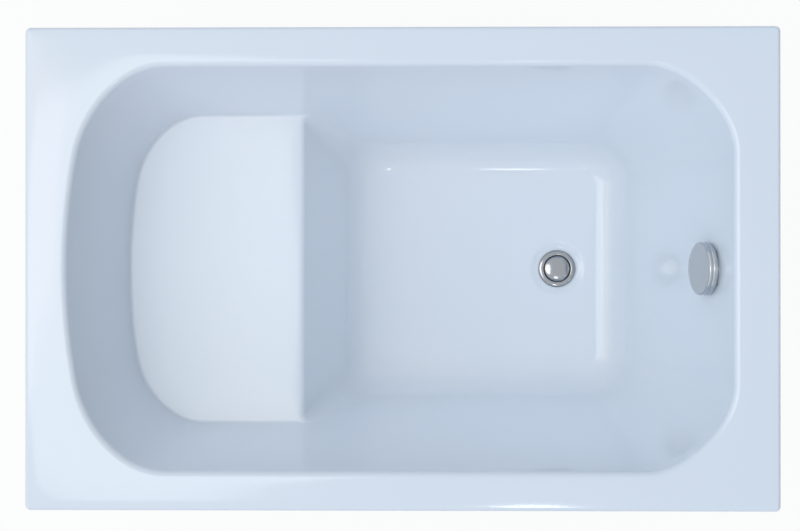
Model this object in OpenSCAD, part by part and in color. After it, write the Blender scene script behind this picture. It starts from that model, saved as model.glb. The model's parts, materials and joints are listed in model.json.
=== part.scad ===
// Deep sitting bath with a moulded seat, on a levelling steel frame, with a turn-knob waste and overflow.
// Millimetres. X runs along the bath, with the drain end at +X. Y runs across it, and Z up from the floor.
// The origin lies on the floor, below the middle of the rim.

/* [Rim] */
// Length over the rim
tub_l = 1100; // [1060:5:1160]
// Width over the rim
tub_w = 705; // [685:5:760]
// Depth of the skirt that hangs from the rim
skirt_h = 38; // [34:1:50]
// Corner radius of the rim in plan
rim_corner_r = 8; // [7:0.5:14]
// Rounding of the rim's outer edge
rim_edge_r = 6; // [5.5:0.5:8]

/* [Well] */
// Height of the foot well's floor above the ground
under_well_h = 180; // [176:1:220]
// Rim width at the seat end
rim_at_seat = 60; // [54:1:66]
// Rim width at the drain end
rim_at_drain = 66; // [56:1:70]
// Rim width along each side
rim_at_side = 56.5; // [54:0.5:60]
// Rounding where the rim turns down into the well
lip_r = 10; // [9:0.5:12]
// Reach of the well's corners at the drain end
drain_corner = 128; // [122:1:140]
// Reach of the well's corners at the seat end
seat_corner = 132; // [118:1:150]
// Fullness of the corners at the drain end, where 0.55 is a quarter circle
drain_fullness = 0.46; // [0.4:0.01:0.55]
// Fullness of the corners at the seat end
seat_fullness = 0.5; // [0.4:0.01:0.55]
// Share of the walls' draw-in that the corners at the drain end lose, so they end tight at the floor
drain_shrink = 0.82; // [0.7:0.01:0.84]
// Share of the walls' draw-in that the corners at the seat end lose
seat_shrink = 0.5; // [0.3:0.05:0.7]
// Radius of the seat end's bow in plan
seat_bow_r = 910; // [700:10:1500]
// Depth of the foot well below the rim
well_depth = 460; // [440:5:475]
// Depth of the seat below the rim
seat_depth = 250; // [220:5:270]
// Lean of the long walls, in degrees
side_draft = 10; // [8:0.5:11]
// Lean of the drain end wall, in degrees
drain_draft = 12.5; // [9:0.5:13]
// Lean of the seat end wall, in degrees
seat_draft = 9.5; // [7:0.5:12]

/* [Seat and floor] */
// Distance of the seat's front edge from the middle of the rim
seat_front = 164; // [150:1:180]
// Lean of the riser below the seat, in degrees
riser_draft = 20.5; // [15:0.5:23]
// Rounding of the seat's front edge
seat_edge_r = 10; // [9:0.5:14]
// Fillet between the seat and the walls
seat_cove_r = 5; // [4:0.5:12]
// Fillet round the foot well's floor
floor_cove_r = 60; // [35:1:62]
// Fillet between riser and side walls, at the seat
riser_fillet_top = 12; // [10:1:18]
// Fillet between riser and side walls, at the floor
riser_fillet_floor = 60; // [45:1:75]

/* [Sheet] */
// Thickness of the acrylic sheet
acrylic_t = 5; // [3:0.5:5]
// Thickness of the glass-fibre backing
backing_t = 3; // [2:0.5:3.5]

/* [Boards] */
// Thickness of the floor board and the seat board
board_t = 16; // [12:1:18]
// Distance of the floor board's ends from the ends of the level floor
floor_board_margin = 4; // [4:1:20]
// Width of the floor board
floor_board_w = 320; // [280:5:330]
// Cut-out in the floor board round the waste
floor_board_hole = 106; // [104:1:109]
// Distance of the seat board from the seat's front edge
seat_board_front_gap = 22; // [15:1:40]
// Distance of the seat board from the seat's end
seat_board_end_gap = 51; // [45:1:80]
// Width of the seat board, across the bath
seat_board_w = 390; // [340:5:395]
// Thickness of the boards below the rim
rim_board_t = 12; // [10:1:14]
// Width of the boards below the rim
rim_board_w = 38; // [32:1:38]

/* [Frame] */
// Side of the square steel tube
tube = 25; // [22:1:25]
// Wall of the square steel tube
tube_wall = 1.5; // [1.2:0.1:2]
// Gap between the skirt and the frame
frame_inset = 5; // [3:0.5:7]
// Gap between the skirt and the boards below the rim
board_inset = 1.5; // [1:0.5:3]
// Reach of the corner posts below the base rails
post_below = 31; // [28:1:40]
// Distance of each floor rail from the middle line
floor_rail_y = 110; // [95:1:125]

/* [Levelling feet] */
// Diameter of a foot pad
pad_d = 44; // [36:1:44]
// Height of a foot pad
pad_h = 16; // [14:1:20]
// Thread diameter of a foot stud
stud_d = 12; // [10:1:14]
// Length of a foot stud inside its post
stud_in_post = 24; // [22:1:34]
// Width across the flats of the hexagons on the feet
hex_flats = 19; // [17:1:22]

/* [Waste] */
// Distance of the waste from the drain end of the level floor
waste_inset = 62; // [62:1:100]
// Diameter of the chrome waste flange
flange_d = 66; // [62:1:74]
// Diameter of the plug cap
cap_d = 45; // [42:0.5:46]
// Hole in the bath for the waste
waste_hole_d = 52.6; // [52:0.2:56]
// Diameter of the shallow dish round the waste
dish_d = 100; // [90:1:104]
// Depth of the shallow dish
dish_depth = 3; // [2:0.5:4]
// Rise of the plug
plug_rise = 8.5; // [6:0.5:9]
// Outside diameter of the outlet
outlet_d = 40; // [32:1:40]
// Length of the outlet's pipe end
outlet_l = 50; // [40:1:70]

/* [Overflow] */
// Depth of the knob's middle below the rim
knob_depth = 85; // [75:1:95]
// Diameter of the knob
knob_d = 80; // [70:1:90]
// Thickness of the knob
knob_t = 14; // [10:0.5:18]
// Gap between the knob and the end wall
knob_gap = 5; // [4:0.5:8]
// Hole in the bath for the overflow
overflow_hole_d = 54; // [50:1:58]
// Outside diameter of the overflow hose over its ribs
hose_d = 32; // [28:0.5:33]
// Bore of the overflow hose
hose_bore = 22; // [18:0.5:23]
// Diameter of the pull cable's sheath
cable_d = 6; // [5:0.5:7]

/* [Wall brackets] */
// Distance of each wall bracket from the middle of the rim
bracket_x = 300; // [200:10:400]
// Distance between the two holes of a bracket
bracket_hole_step = 60; // [50:1:70]
// Hole in a wall bracket
bracket_hole_d = 8; // [6:0.5:9]

/* [Hidden] */
$fn = 64;

// Colours as seen
WHITE = "#eaf1fa";
CHROME = "#b9c0c8";
STEEL = "#8d949b";
PLASTIC = "#eceeee";
RUBBER = "#2b2b2d";
BOARD = "#b98f5e";
BRASS = "#b89b5c";

// ---- the sheet's shape: closed rings, walked round from the rim's lower edge to the waste ----
// Steps round a ring: at the seat's front corner, along a side, round a corner, along the bow and the end
n_joint = 4;
n_side = 2;
n_corner = 12;
n_bow = 4;
n_end = 2;
n_left = n_joint + n_side + n_corner + n_bow;
round_handle = 0.5523;
// Share of the floor fillet's draw-in that the riser's corners lose
riser_shrink = 0.4;

// Height of the rim, of the seat and of the foot well's floor
tub_h = under_well_h + well_depth;
seat_z = tub_h - seat_depth;
floor_z = under_well_h;
well_side = tub_w / 2 - rim_at_side;
well_drain = tub_l / 2 - rim_at_drain;
well_seat = tub_l / 2 - rim_at_seat;

// Tangent length of a rounding of radius r between a level face and a face that leans by a from upright
function tangent(r, a) = r * tan((90 - a) / 2);
// Plan distance at height z of a wall that leans by a, whose edge at the rim is at e, for the face t outside
function wall(e, a, z, t) = e - (tub_h - z) * tan(a) + t / cos(a);
// Draw-in of a fillet of radius r from the wall's line, h above the level face it runs into
function cove(h, r, a) =
  h >= r * (1 - sin(a)) ? 0 : h * tan(a) + tangent(r, a) - sqrt(r * r - (r - h) * (r - h));
// Plan position of the riser at height z
function riser(z, t) = -seat_front + (seat_z - z) * tan(riser_draft) - t / cos(riser_draft);
// Radius in plan of the fillet between the riser and the side walls
function riser_fillet(z, t) = t + riser_fillet_top
  + (riser_fillet_floor - riser_fillet_top) * (seat_z - z) / (seat_z - floor_z);
function joint_x(t) = riser(seat_z, t) + riser_fillet(seat_z, t);

function line_run(p, q, n) = [for (i = [1:n]) p + (q - p) * i / n];
// A bend from p to q, that leaves p along u and reaches q along v, with handles h long
function bend_run(p, u, q, v, h, n) =
  let (a = p + u * h, b = q - v * h)
  [for (i = [1:n]) let (k = i / n, m = 1 - k)
    m * m * m * p + 3 * m * m * k * a + 3 * m * k * k * b + k * k * k * q];
function flip(p) = [p.x, -p.y, p.z];
// The back halves of a ring, from the joint to each end, make the whole ring
function ring(right, left) = concat(
  [for (p = right) flip(p)],
  [for (i = [len(right) - 2:-1:0]) right[i]],
  left,
  [for (i = [len(left) - 2:-1:0]) flip(left[i])]);
// From the joint along the side, round the corner of reach c, and to the middle of the drain end
function drain_half(xj, xd, ys, c, f, z) = concat(
  [[xj, ys, z]],
  line_run([xj, ys, z], [xd - c, ys, z], n_side),
  bend_run([xd - c, ys, z], [1, 0, 0], [xd, ys - c, z], [0, -1, 0], f * c, n_corner),
  line_run([xd, ys - c, z], [xd, 0, z], n_end));
// From the joint along the side, drawn in by d, round the corner, and to the middle of the bowed seat end.
// The height goes from zw at the joint to z.
function seat_half(xj, xk, xs, ys, d, c, f, bow, zw, z) =
  let (yb = ys - d - c, xb = -xs + bow * yb * yb / 2, v = [-bow * yb, -1, 0])
  concat(
    [for (i = [1:n_joint]) let (a = 90 * i / n_joint)
      [xj - (xj - xk) * sin(a), ys - d * (1 - cos(a)), zw + (z - zw) * sin(a)]],
    line_run([xk, ys - d, z], [xb + c, ys - d, z], n_side),
    bend_run([xb + c, ys - d, z], [-1, 0, 0], [xb, yb, z], v / norm(v), f * c, n_corner),
    [for (i = [1:n_bow]) let (y = yb * (1 - i / n_bow)) [-xs + bow * y * y / 2, y, z]]);
// From the joint round the riser's corner of radius r, and along the riser to the middle line.
// The line along the riser stands back by s.
function riser_half(xq, ys, r, s, zw, z) = concat(
  [for (i = [1:n_joint]) let (a = 90 * i / n_joint)
    [xq + r - (r + s) * sin(a), ys - r * (1 - cos(a)), zw + (z - zw) * sin(a)]],
  line_run([xq - s, ys - r, z], [xq - s, 0, z], n_left - n_joint));

function rim_ring(g, z, t) =
  let (x = tub_l / 2 + g, y = tub_w / 2 + g, c = rim_corner_r + g)
  ring(
    drain_half(joint_x(t), x, y, c, round_handle, z),
    seat_half(joint_x(t), seat_line(t), x, y, 0, c, round_handle, 0, z, z));
// Where the seat's fillet ends, a little behind the front rounding
seat_gap = 3;
function seat_line(t) = -seat_front - tangent(seat_edge_r, riser_draft) - seat_gap - t / cos(riser_draft);
// A ring of the well above the seat: g grows its water side and t its outside
function well_ring(gs, gd, ge, g, t, z, d, zw) =
  ring(
    drain_half(joint_x(t), gd, gs, drain_corner + drain_shrink * g + t, drain_fullness, zw),
    seat_half(joint_x(t), seat_line(t), ge, gs, d, seat_corner + seat_shrink * g + t - d,
      seat_fullness, 1 / seat_bow_r, zw, z));
function lip_ring(a, t) =
  let (k = (lip_r - t) * sin(a))
  well_ring(
    well_side + tangent(lip_r, side_draft) - k,
    well_drain + tangent(lip_r, drain_draft) - k,
    well_seat + tangent(lip_r, seat_draft) - k,
    tangent(lip_r, side_draft) - lip_r * sin(a), t * sin(a),
    tub_h - lip_r + (lip_r - t) * cos(a), 0, tub_h - lip_r + (lip_r - t) * cos(a));
// A ring of the seat's fillet at turn a, where zw is the height of the same ring on the foot well's wall
function seat_ring(a, zw, t) =
  let (r = seat_cove_r + t, h = r * (1 - cos(a)), z = seat_z - t + h, d = cove(h, r, side_draft),
    g = -(tub_h - z) * tan(side_draft))
  ring(
    drain_half(joint_x(t), wall(well_drain, drain_draft, zw, t), wall(well_side, side_draft, zw, t),
      drain_corner + drain_shrink * g + t, drain_fullness, zw),
    seat_half(joint_x(t), seat_line(t), wall(well_seat, seat_draft, z, t) - cove(h, r, seat_draft),
      wall(well_side, side_draft, z, t), d, seat_corner + seat_shrink * g + t - d,
      seat_fullness, 1 / seat_bow_r, zw, z));
// A ring that passes the riser, where s is how far the front rounding stands back from the riser's plane
function riser_ring(zw, z, s, t) =
  let (h = zw - floor_z + t, r = floor_cove_r + t, ds = cove(h, r, side_draft), dr = cove(h, r, riser_draft),
    g = -(tub_h - zw) * tan(side_draft) - ds,
    q = riser_fillet(z, t) - riser_shrink * ds,
    xq = riser(z, t) + dr, ys = wall(well_side, side_draft, zw, t) - ds)
  ring(
    drain_half(xq + q, wall(well_drain, drain_draft, zw, t) - cove(h, r, drain_draft), ys,
      drain_corner + drain_shrink * g + t, drain_fullness, zw),
    riser_half(xq, ys, q, s, zw, z));
// The front rounding at turn a
function front_ring(a, t) =
  let (r = seat_edge_r - t, z = seat_z - seat_edge_r + r * cos(a),
    x = -seat_front - tangent(seat_edge_r, riser_draft) + r * sin(a), zw = z - joint_drop * cos(a))
  riser_ring(zw, z, riser(z, t) - x, t);
// The ring nearest the seat's plane lies this far above or below it on the foot well's wall
joint_drop = 0.7;
function round_waste(base, r, z) = [for (p = base)
  let (u = [p.x - waste_x, p.y]) [waste_x + r * u.x / norm(u), r * u.y / norm(u), z]];

lip_turns = [for (i = [0:3]) (90 - drain_draft) * i / 3];
seat_turns = [for (i = [3:-1:0]) (90 - side_draft) * i / 3];
front_turns = [for (i = [0:2]) (90 - riser_draft) * i / 2];
floor_turns = [for (i = [4:-1:0]) (90 - side_draft) * i / 4];
function skirt_rings(t) = [rim_ring(-t, tub_h - skirt_h, t)];
function edge_rings(t) = [for (a = [0:30:60]) let (r = rim_edge_r - t)
  rim_ring(r * cos(a) - rim_edge_r, tub_h - rim_edge_r + r * sin(a), t)];
function deck_rings(t) = [rim_ring(-rim_edge_r, tub_h - t, t)];
function well_rings(t) =
  let (floor_ring = riser_ring(floor_z - t, floor_z - t, 0, t))
  concat(
    [for (a = lip_turns) lip_ring(a, t)],
    [for (a = seat_turns) seat_ring(a,
      seat_z - t + (seat_cove_r + t) * (1 - cos(a)) + joint_drop * cos(a), t)],
    [for (a = front_turns) front_ring(a, t)],
    [for (a = floor_turns) let (z = floor_z - t + (floor_cove_r + t) * (1 - cos(a))) riser_ring(z, z, 0, t)],
    [round_waste(floor_ring, dish_d / 2, floor_z - t)],
    [round_waste(floor_ring, flange_d / 2 + 4, floor_z - dish_depth - t)]);

// A sheet between two stacks of rings, closed at its outer edge, and closed over the waste by two fans
module sheet(upper, lower) {
  n = len(upper[0]);
  m = len(upper);
  count = n * m;
  upper_mid = [waste_x, 0, upper[m - 1][0].z];
  lower_mid = [waste_x, 0, lower[m - 1][0].z];
  points = concat([for (r = upper) for (p = r) p], [for (r = lower) for (p = r) p], [upper_mid, lower_mid]);
  walls = [for (s = [0:m - 2]) for (k = [0:n - 1])
    let (a = s * n + k, b = s * n + (k + 1) % n, c = b + n, d = a + n)
    each [[a, c, b], [a, d, c], [a + count, b + count, c + count], [a + count, c + count, d + count]]];
  edge = [for (k = [0:n - 1]) let (a = k, b = (k + 1) % n)
    each [[a, b, b + count], [a, b + count, a + count]]];
  fans = [for (k = [0:n - 1]) let (a = (m - 1) * n + k, b = (m - 1) * n + (k + 1) % n)
    each [[a, 2 * count, b], [a + count, b + count, 2 * count + 1]]];
  polyhedron(points, concat(walls, edge, fans));
}

// ---- places that the pieces share ----
sheet_t = acrylic_t + backing_t;
// Clearance of a running or threaded fit, and of a loose hole
fit = 0.05;
loose = 0.5;
tube_bore = tube - 2 * tube_wall;
frame_x = tub_l / 2 - acrylic_t - frame_inset - tube / 2;
frame_y = tub_w / 2 - acrylic_t - frame_inset - tube / 2;
rim_board_x = tub_l / 2 - acrylic_t - board_inset - rim_board_w / 2;
rim_board_y = tub_w / 2 - acrylic_t - board_inset - rim_board_w / 2;
rim_board_z = tub_h - sheet_t - rim_board_t;
top_rail_z = rim_board_z - tube;
floor_board_z = floor_z - sheet_t - board_t;
base_z = floor_board_z - tube;
seat_board_z = seat_z - sheet_t - board_t;
seat_rail_z = seat_board_z - tube;
// The level part of the foot well's floor runs from its riser end to its drain end
floor_from = riser(floor_z, 0) + tangent(floor_cove_r, riser_draft);
floor_to = wall(well_drain, drain_draft, floor_z, 0) - tangent(floor_cove_r, drain_draft);
floor_mid = (floor_from + floor_to) / 2;
waste_x = floor_to - waste_inset;
floor_board_l = floor_to - floor_from - 2 * floor_board_margin;
seat_board_l = wall(well_seat, seat_draft, seat_z, 0) - seat_front - seat_board_front_gap
  - seat_board_end_gap;
seat_rail_x = seat_front + seat_board_front_gap + seat_board_l / 2;
post_foot_z = base_z - post_below;
posts = [[-1, -1], [1, -1], [-1, 1], [1, 1]];

// Screws: places along the frame, shank and head
screw_d = 5;
screw_head_d = 9;
screw_head_h = 3;
screw_bite = 10;
rim_screw_x = 150;
rim_screw_y = 180;
board_screw_step = 150;
rim_screw_side = [for (sy = [-1, 1]) for (k = [-3, -1, 1, 3]) [k * rim_screw_x, sy * frame_y]];
rim_screw_end = [for (sx = [-1, 1]) for (sy = [-1, 1]) [sx * frame_x, sy * rim_screw_y]];
floor_screws = [for (sy = [-1, 1]) for (k = [-1, 0, 1]) [floor_mid + k * board_screw_step, sy * floor_rail_y]];
seat_screws = [for (sy = [-1, 1]) [-seat_rail_x, sy * board_screw_step]];

module screws(places, z) {
  for (p = places) translate([p.x, p.y, z]) {
    cylinder(d = screw_d, h = tube + screw_bite);
    translate([0, 0, -screw_head_h]) cylinder(d = screw_head_d, h = screw_head_h);
  }
}
module screw_holes(places, z) {
  for (p = places) translate([p.x, p.y, z - 1]) cylinder(d = screw_d + 2 * fit, h = tube + screw_bite + 1);
}

// ---- the bath itself ----
module waste_hole() {
  translate([waste_x, 0, floor_z - sheet_t - dish_depth - 5]) cylinder(d = waste_hole_d, h = sheet_t + 20);
}
// Places its children on the drain end wall, with their Z along the knob's axis into the bath
module at_knob() {
  translate([wall(well_drain, drain_draft, knob_z, 0), 0, knob_z]) rotate([0, drain_draft - 90, 0])
    children();
}
module overflow_hole() {
  at_knob() translate([0, 0, -2 * sheet_t]) cylinder(d = overflow_hole_d, h = 3 * sheet_t);
}
// The sheet with the hole for the waste cut first, then the hole for the overflow
module with_holes() {
  difference() {
    difference() {
      children();
      waste_hole();
    }
    overflow_hole();
  }
}
module acrylic_shell() {
  color(WHITE) with_holes()
    sheet(concat(skirt_rings(0), edge_rings(0), deck_rings(0), well_rings(0)),
      concat(skirt_rings(acrylic_t), edge_rings(acrylic_t), deck_rings(acrylic_t), well_rings(acrylic_t)));
}
module glass_fibre_backing() {
  color("#c9c3a4") with_holes()
    sheet(concat(deck_rings(acrylic_t), well_rings(acrylic_t)),
      concat(deck_rings(sheet_t), well_rings(sheet_t)));
}

// ---- boards ----
module rim_boards_side() {
  color(BOARD) difference() {
    for (sy = [-1, 1]) translate([0, sy * rim_board_y, rim_board_z + rim_board_t / 2])
      cube([2 * rim_board_x + rim_board_w, rim_board_w, rim_board_t], center = true);
    screw_holes(rim_screw_side, top_rail_z);
  }
}
module rim_boards_end() {
  color(BOARD) difference() {
    for (sx = [-1, 1]) translate([sx * rim_board_x, 0, rim_board_z + rim_board_t / 2])
      cube([rim_board_w, 2 * rim_board_y - rim_board_w, rim_board_t], center = true);
    screw_holes(rim_screw_end, top_rail_z);
  }
}
module seat_board() {
  color(BOARD) difference() {
    translate([-seat_rail_x - seat_board_l / 2, -seat_board_w / 2, seat_board_z])
      cube([seat_board_l, seat_board_w, board_t]);
    screw_holes(seat_screws, seat_rail_z);
  }
}
module floor_board() {
  color(BOARD) difference() {
    translate([floor_mid - floor_board_l / 2, -floor_board_w / 2, floor_board_z])
      cube([floor_board_l, floor_board_w, board_t]);
    translate([waste_x, 0, floor_board_z - 1]) cylinder(d = floor_board_hole, h = board_t + 2);
    screw_holes(floor_screws, base_z);
  }
}

// ---- frame of square tube ----
// A tube of length l along axis 0, 1 or 2, with the corner of its box at p
module square_tube(p, l, axis) {
  out = [for (i = [0:2]) i == axis ? l : tube];
  bore = [for (i = [0:2]) i == axis ? l + 2 : tube_bore];
  skin = [for (i = [0:2]) i == axis ? -1 : tube_wall];
  translate(p) difference() {
    cube(out);
    translate(skin) cube(bore);
  }
}
module top_rail_side(sy) {
  color(STEEL) difference() {
    square_tube([-frame_x - tube / 2, sy * frame_y - tube / 2, top_rail_z], 2 * frame_x + tube, 0);
    screw_holes(rim_screw_side, top_rail_z);
  }
}
module top_rail_end(sx) {
  color(STEEL) difference() {
    square_tube([sx * frame_x - tube / 2, tube / 2 - frame_y, top_rail_z], 2 * frame_y - tube, 1);
    screw_holes(rim_screw_end, top_rail_z);
  }
}
module corner_post(i) {
  color(STEEL) square_tube([posts[i].x * frame_x - tube / 2, posts[i].y * frame_y - tube / 2, post_foot_z],
    top_rail_z - post_foot_z, 2);
}
module base_rail_side(sy) {
  color(STEEL) square_tube([tube / 2 - frame_x, sy * frame_y - tube / 2, base_z], 2 * frame_x - tube, 0);
}
module base_rail_end(sx) {
  color(STEEL) square_tube([sx * frame_x - tube / 2, tube / 2 - frame_y, base_z], 2 * frame_y - tube, 1);
}
module floor_rail(sy) {
  color(STEEL) difference() {
    square_tube([tube / 2 - frame_x, sy * floor_rail_y - tube / 2, base_z], 2 * frame_x - tube, 0);
    screw_holes(floor_screws, base_z);
  }
}
module seat_rail() {
  color(STEEL) difference() {
    square_tube([-seat_rail_x - tube / 2, -frame_y - tube / 2, seat_rail_z], 2 * frame_y + tube, 1);
    screw_holes(seat_screws, seat_rail_z);
  }
}
module seat_post(sy) {
  color(STEEL) square_tube([-seat_rail_x - tube / 2, sy * frame_y - tube / 2, base_z + tube],
    seat_rail_z - base_z - tube, 2);
}
module rim_screws() {
  color(CHROME) screws(concat(rim_screw_side, rim_screw_end), top_rail_z);
}
module board_screws() {
  color(CHROME) {
    screws(floor_screws, base_z);
    screws(seat_screws, seat_rail_z);
  }
}
bracket_w = bracket_hole_step + 30;
bracket_h = 50;
bracket_t = 3;
module wall_brackets() {
  color(STEEL) for (sx = [-1, 1]) translate([sx * bracket_x, tub_w / 2, top_rail_z]) difference() {
    union() {
      translate([-bracket_w / 2, -bracket_t, -bracket_h]) cube([bracket_w, bracket_t, bracket_h]);
      translate([-bracket_w / 2, -tube - frame_inset - acrylic_t, -bracket_t])
        cube([bracket_w, tube + frame_inset + acrylic_t, bracket_t]);
    }
    for (k = [-1, 1]) translate([k * bracket_hole_step / 2, 1, -bracket_h / 2 - bracket_t])
      rotate([90, 0, 0]) cylinder(d = bracket_hole_d, h = bracket_t + 2);
  }
}

// ---- levelling feet ----
plug_flange_t = 3;
nut_h = 10;
collar_h = 8;
socket_floor = 6;
stud_l = post_foot_z + stud_in_post - socket_floor;
module at_post(i) { translate([posts[i].x * frame_x, posts[i].y * frame_y, 0]) children(); }
module hexagon(h) { cylinder(d = hex_flats / cos(30), h = h, $fn = 6); }
module post_plugs() {
  color(PLASTIC) for (i = [0:3]) at_post(i) translate([0, 0, post_foot_z]) difference() {
    union() {
      translate([-tube / 2, -tube / 2, -plug_flange_t]) cube([tube, tube, plug_flange_t]);
      translate([-tube_bore / 2 + fit, -tube_bore / 2 + fit, 0])
        cube([tube_bore - 2 * fit, tube_bore - 2 * fit, tube]);
    }
    translate([0, 0, -plug_flange_t - 1]) cylinder(d = stud_d + 2 * fit, h = tube + plug_flange_t + 2);
  }
}
module lock_nuts() {
  color(CHROME) for (i = [0:3]) at_post(i) translate([0, 0, post_foot_z - plug_flange_t - nut_h])
    difference() {
      hexagon(nut_h);
      translate([0, 0, -1]) cylinder(d = stud_d + 2 * fit, h = nut_h + 2);
    }
}
module foot_pad(i) {
  r = pad_d / 2;
  color(RUBBER) at_post(i) rotate_extrude() polygon([
    [0, 0], [r - 1, 0], [r, 1], [r, pad_h * 0.35], [r - 2, pad_h * 0.45],
    [stud_d / 2 + 6, pad_h - 1], [stud_d / 2 + 5, pad_h],
    [stud_d / 2 + fit, pad_h], [stud_d / 2 + fit, socket_floor], [0, socket_floor]]);
}
module foot_stud(i) {
  color(CHROME) at_post(i) {
    translate([0, 0, socket_floor + 2 * fit]) cylinder(d = stud_d, h = stud_l);
    translate([0, 0, pad_h + 2 * fit]) hexagon(collar_h);
  }
}

// ---- waste, plug and trap ----
module at_waste() { translate([waste_x, 0, 0]) children(); }
// A ring turned round Z, from radius a to b and from height z to top
module hoop(a, b, z, top) {
  translate([0, 0, z]) difference() {
    cylinder(r = b, h = top - z);
    translate([0, 0, -1]) cylinder(r = a, h = top - z + 2);
  }
}
// The waste hangs from the bath's floor: each depth is measured down from the dish
dish_z = floor_z - dish_depth;
gasket_t = 1.5;
under_gasket_t = 3;
flange_t = 3;
flange_z = dish_z + gasket_t;
flange_cup_r = waste_hole_d / 2 - loose;
flange_cup_bore = cap_d / 2 + 1.5;
seat_ring_depth = 7;
seat_ring_z = dish_z - seat_ring_depth;
throat_r = 21;
throat_bore = 17;
throat_depth = 29;
throat_z = dish_z - throat_depth;
body_flange_r = 40;
body_flange_z = dish_z - sheet_t - under_gasket_t;
bowl_r = 33;
bowl_wall = 3;
bowl_top_depth = 20;
bowl_top = dish_z - bowl_top_depth;
bowl_depth = 65;
bowl_z = dish_z - bowl_depth;
port_r = hose_bore / 2 + 2.5;
port_depth = 49;
port_z = dish_z - port_depth;
port_end = 53;
dip_r = 20;
dip_depth = 153;
dip_z = dish_z - dip_depth;
neck_r = 27;
neck_flange_r = 31;
neck_flange_depth = 78;
neck_flange_z = dish_z - neck_flange_depth;
neck_flange_t = 4;
module waste_flange() {
  r = flange_d / 2;
  color(CHROME) at_waste() difference() {
    union() {
      rotate_extrude() polygon([
        [flange_cup_bore, flange_z + flange_t - 0.8], [flange_cup_bore + 1, flange_z + flange_t],
        [r - 3, flange_z + flange_t], [r - 1, flange_z + flange_t - 0.8], [r, flange_z + 0.8], [r, flange_z],
        [flange_cup_r, flange_z], [flange_cup_r, seat_ring_z - 3], [throat_r, seat_ring_z - 3],
        [throat_r, throat_z], [throat_bore, throat_z], [throat_bore, seat_ring_z],
        [flange_cup_bore, seat_ring_z]]);
      hoop(stem_r + fit, stem_r + 2.5, seat_ring_z - 12, seat_ring_z - 4);
      for (a = [90, 210, 330]) rotate(a) translate([stem_r + 1.5, -1.25, seat_ring_z - 11])
        cube([throat_bore - stem_r - 1, 2.5, 6]);
    }
  }
}
module waste_gasket() {
  color(RUBBER) at_waste() hoop(flange_cup_r + fit, flange_d / 2 - 1, dish_z, flange_z);
}
module under_gasket() {
  color(RUBBER) at_waste() hoop(flange_cup_r + fit, body_flange_r - 2, body_flange_z,
    body_flange_z + under_gasket_t);
}
module waste_body() {
  color(PLASTIC) at_waste() difference() {
    union() {
      translate([0, 0, body_flange_z - 6]) cylinder(r = body_flange_r, h = 6);
      translate([0, 0, bowl_z]) cylinder(r = bowl_r, h = body_flange_z - bowl_z);
      translate([0, 0, neck_flange_z]) cylinder(r = neck_r, h = bowl_z - neck_flange_z + 1);
      translate([0, 0, neck_flange_z]) cylinder(r = neck_flange_r, h = neck_flange_t);
      translate([0, 0, dip_z]) cylinder(r = dip_r, h = neck_flange_z - dip_z + 1);
      translate([bowl_r - bowl_wall - 1, 0, port_z]) rotate([0, 90, 0])
        cylinder(r = port_r, h = port_end - bowl_r + bowl_wall + 1);
      translate([pull_boss_from, pull_y, pull_z]) rotate([0, 90, 0])
        cylinder(r = cable_d / 2 + 1.5, h = pull_boss_end - pull_boss_from);
    }
    translate([0, 0, bowl_z + bowl_wall]) cylinder(r = bowl_r - bowl_wall, h = bowl_top - bowl_z - bowl_wall);
    translate([0, 0, bowl_top - 1]) cylinder(r = throat_r + fit, h = 20);
    translate([0, 0, dip_z - 1]) cylinder(r = dip_r - bowl_wall, h = bowl_z);
    translate([bowl_r - bowl_wall - 8, 0, port_z]) rotate([0, 90, 0])
      cylinder(r = hose_bore / 2, h = port_end);
    translate([0, pull_y, pull_z]) rotate([0, 90, 0]) cylinder(r = 1.5, h = port_end);
    translate([lever_x, lever_pin_l / 2 + 0.2, lever_z]) rotate([90, 0, 0])
      cylinder(r = lever_pin_r + fit, h = lever_pin_l + 0.4);
  }
}

// The plug: its cap, seal and stem rise together when the lever tips up under the stem's foot
stem_r = 3;
lever_x = 16;
lever_depth = 51;
lever_z = dish_z - lever_depth;
lever_pin_r = 2.5;
lever_pin_l = 54;
lever_arm_t = 2.4;
lever_pull = 16;
lever_turn = 2 * asin(plug_rise / (2 * lever_x));
knob_turn = 100;
crank_r = lever_pull * sin(lever_turn / 2) / sin(knob_turn / 2);
stem_z = lever_z - lever_x * sin(lever_turn / 2) + lever_pin_r + 0.25;
pull_y = 17;
pull_z = lever_z + lever_pull;
pull_boss_from = 24;
pull_boss_end = 39;
seal_t = 3.4;
cap_z = seat_ring_z + seal_t + 0.1;
module plug_cap() {
  r = cap_d / 2;
  color(CHROME) at_waste() rotate_extrude() polygon(concat(
    [[0, cap_z + 4], [stem_r + fit, cap_z + 4], [stem_r + fit, cap_z - 2], [stem_r + 3, cap_z - 2],
      [stem_r + 3, cap_z], [r - 2, cap_z], [r, cap_z + 2.5], [r, cap_z + 6]],
    [for (i = [1:8]) let (a = 90 * i / 8) [r * cos(a), cap_z + 6 + 3.5 * sin(a)]]));
}
module plug_seal() {
  color(RUBBER) at_waste() hoop(throat_bore, cap_d / 2 - 2, cap_z - seal_t, cap_z);
}
module plug_stem() {
  color(BRASS) at_waste() translate([0, 0, stem_z]) cylinder(r = stem_r, h = cap_z + 4 - stem_z);
}
module lift_lever() {
  color(BRASS) at_waste() translate([lever_x, 0, lever_z]) rotate([0, -lever_turn / 2, 0]) {
    rotate([90, 0, 0]) translate([0, 0, -lever_pin_l / 2]) cylinder(r = lever_pin_r, h = lever_pin_l);
    rotate([90, 0, 0]) translate([-lever_x, 0, -3]) cylinder(r = lever_pin_r, h = 6);
    translate([-lever_x, -3, -lever_arm_t / 2]) cube([lever_x, 6, lever_arm_t]);
    translate([-lever_arm_t / 2, pull_y - 2, 0]) cube([lever_arm_t, 4, lever_pull]);
    translate([0, pull_y + 2, lever_pull]) rotate([90, 0, 0]) cylinder(r = lever_pin_r, h = 4);
  }
}

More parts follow.
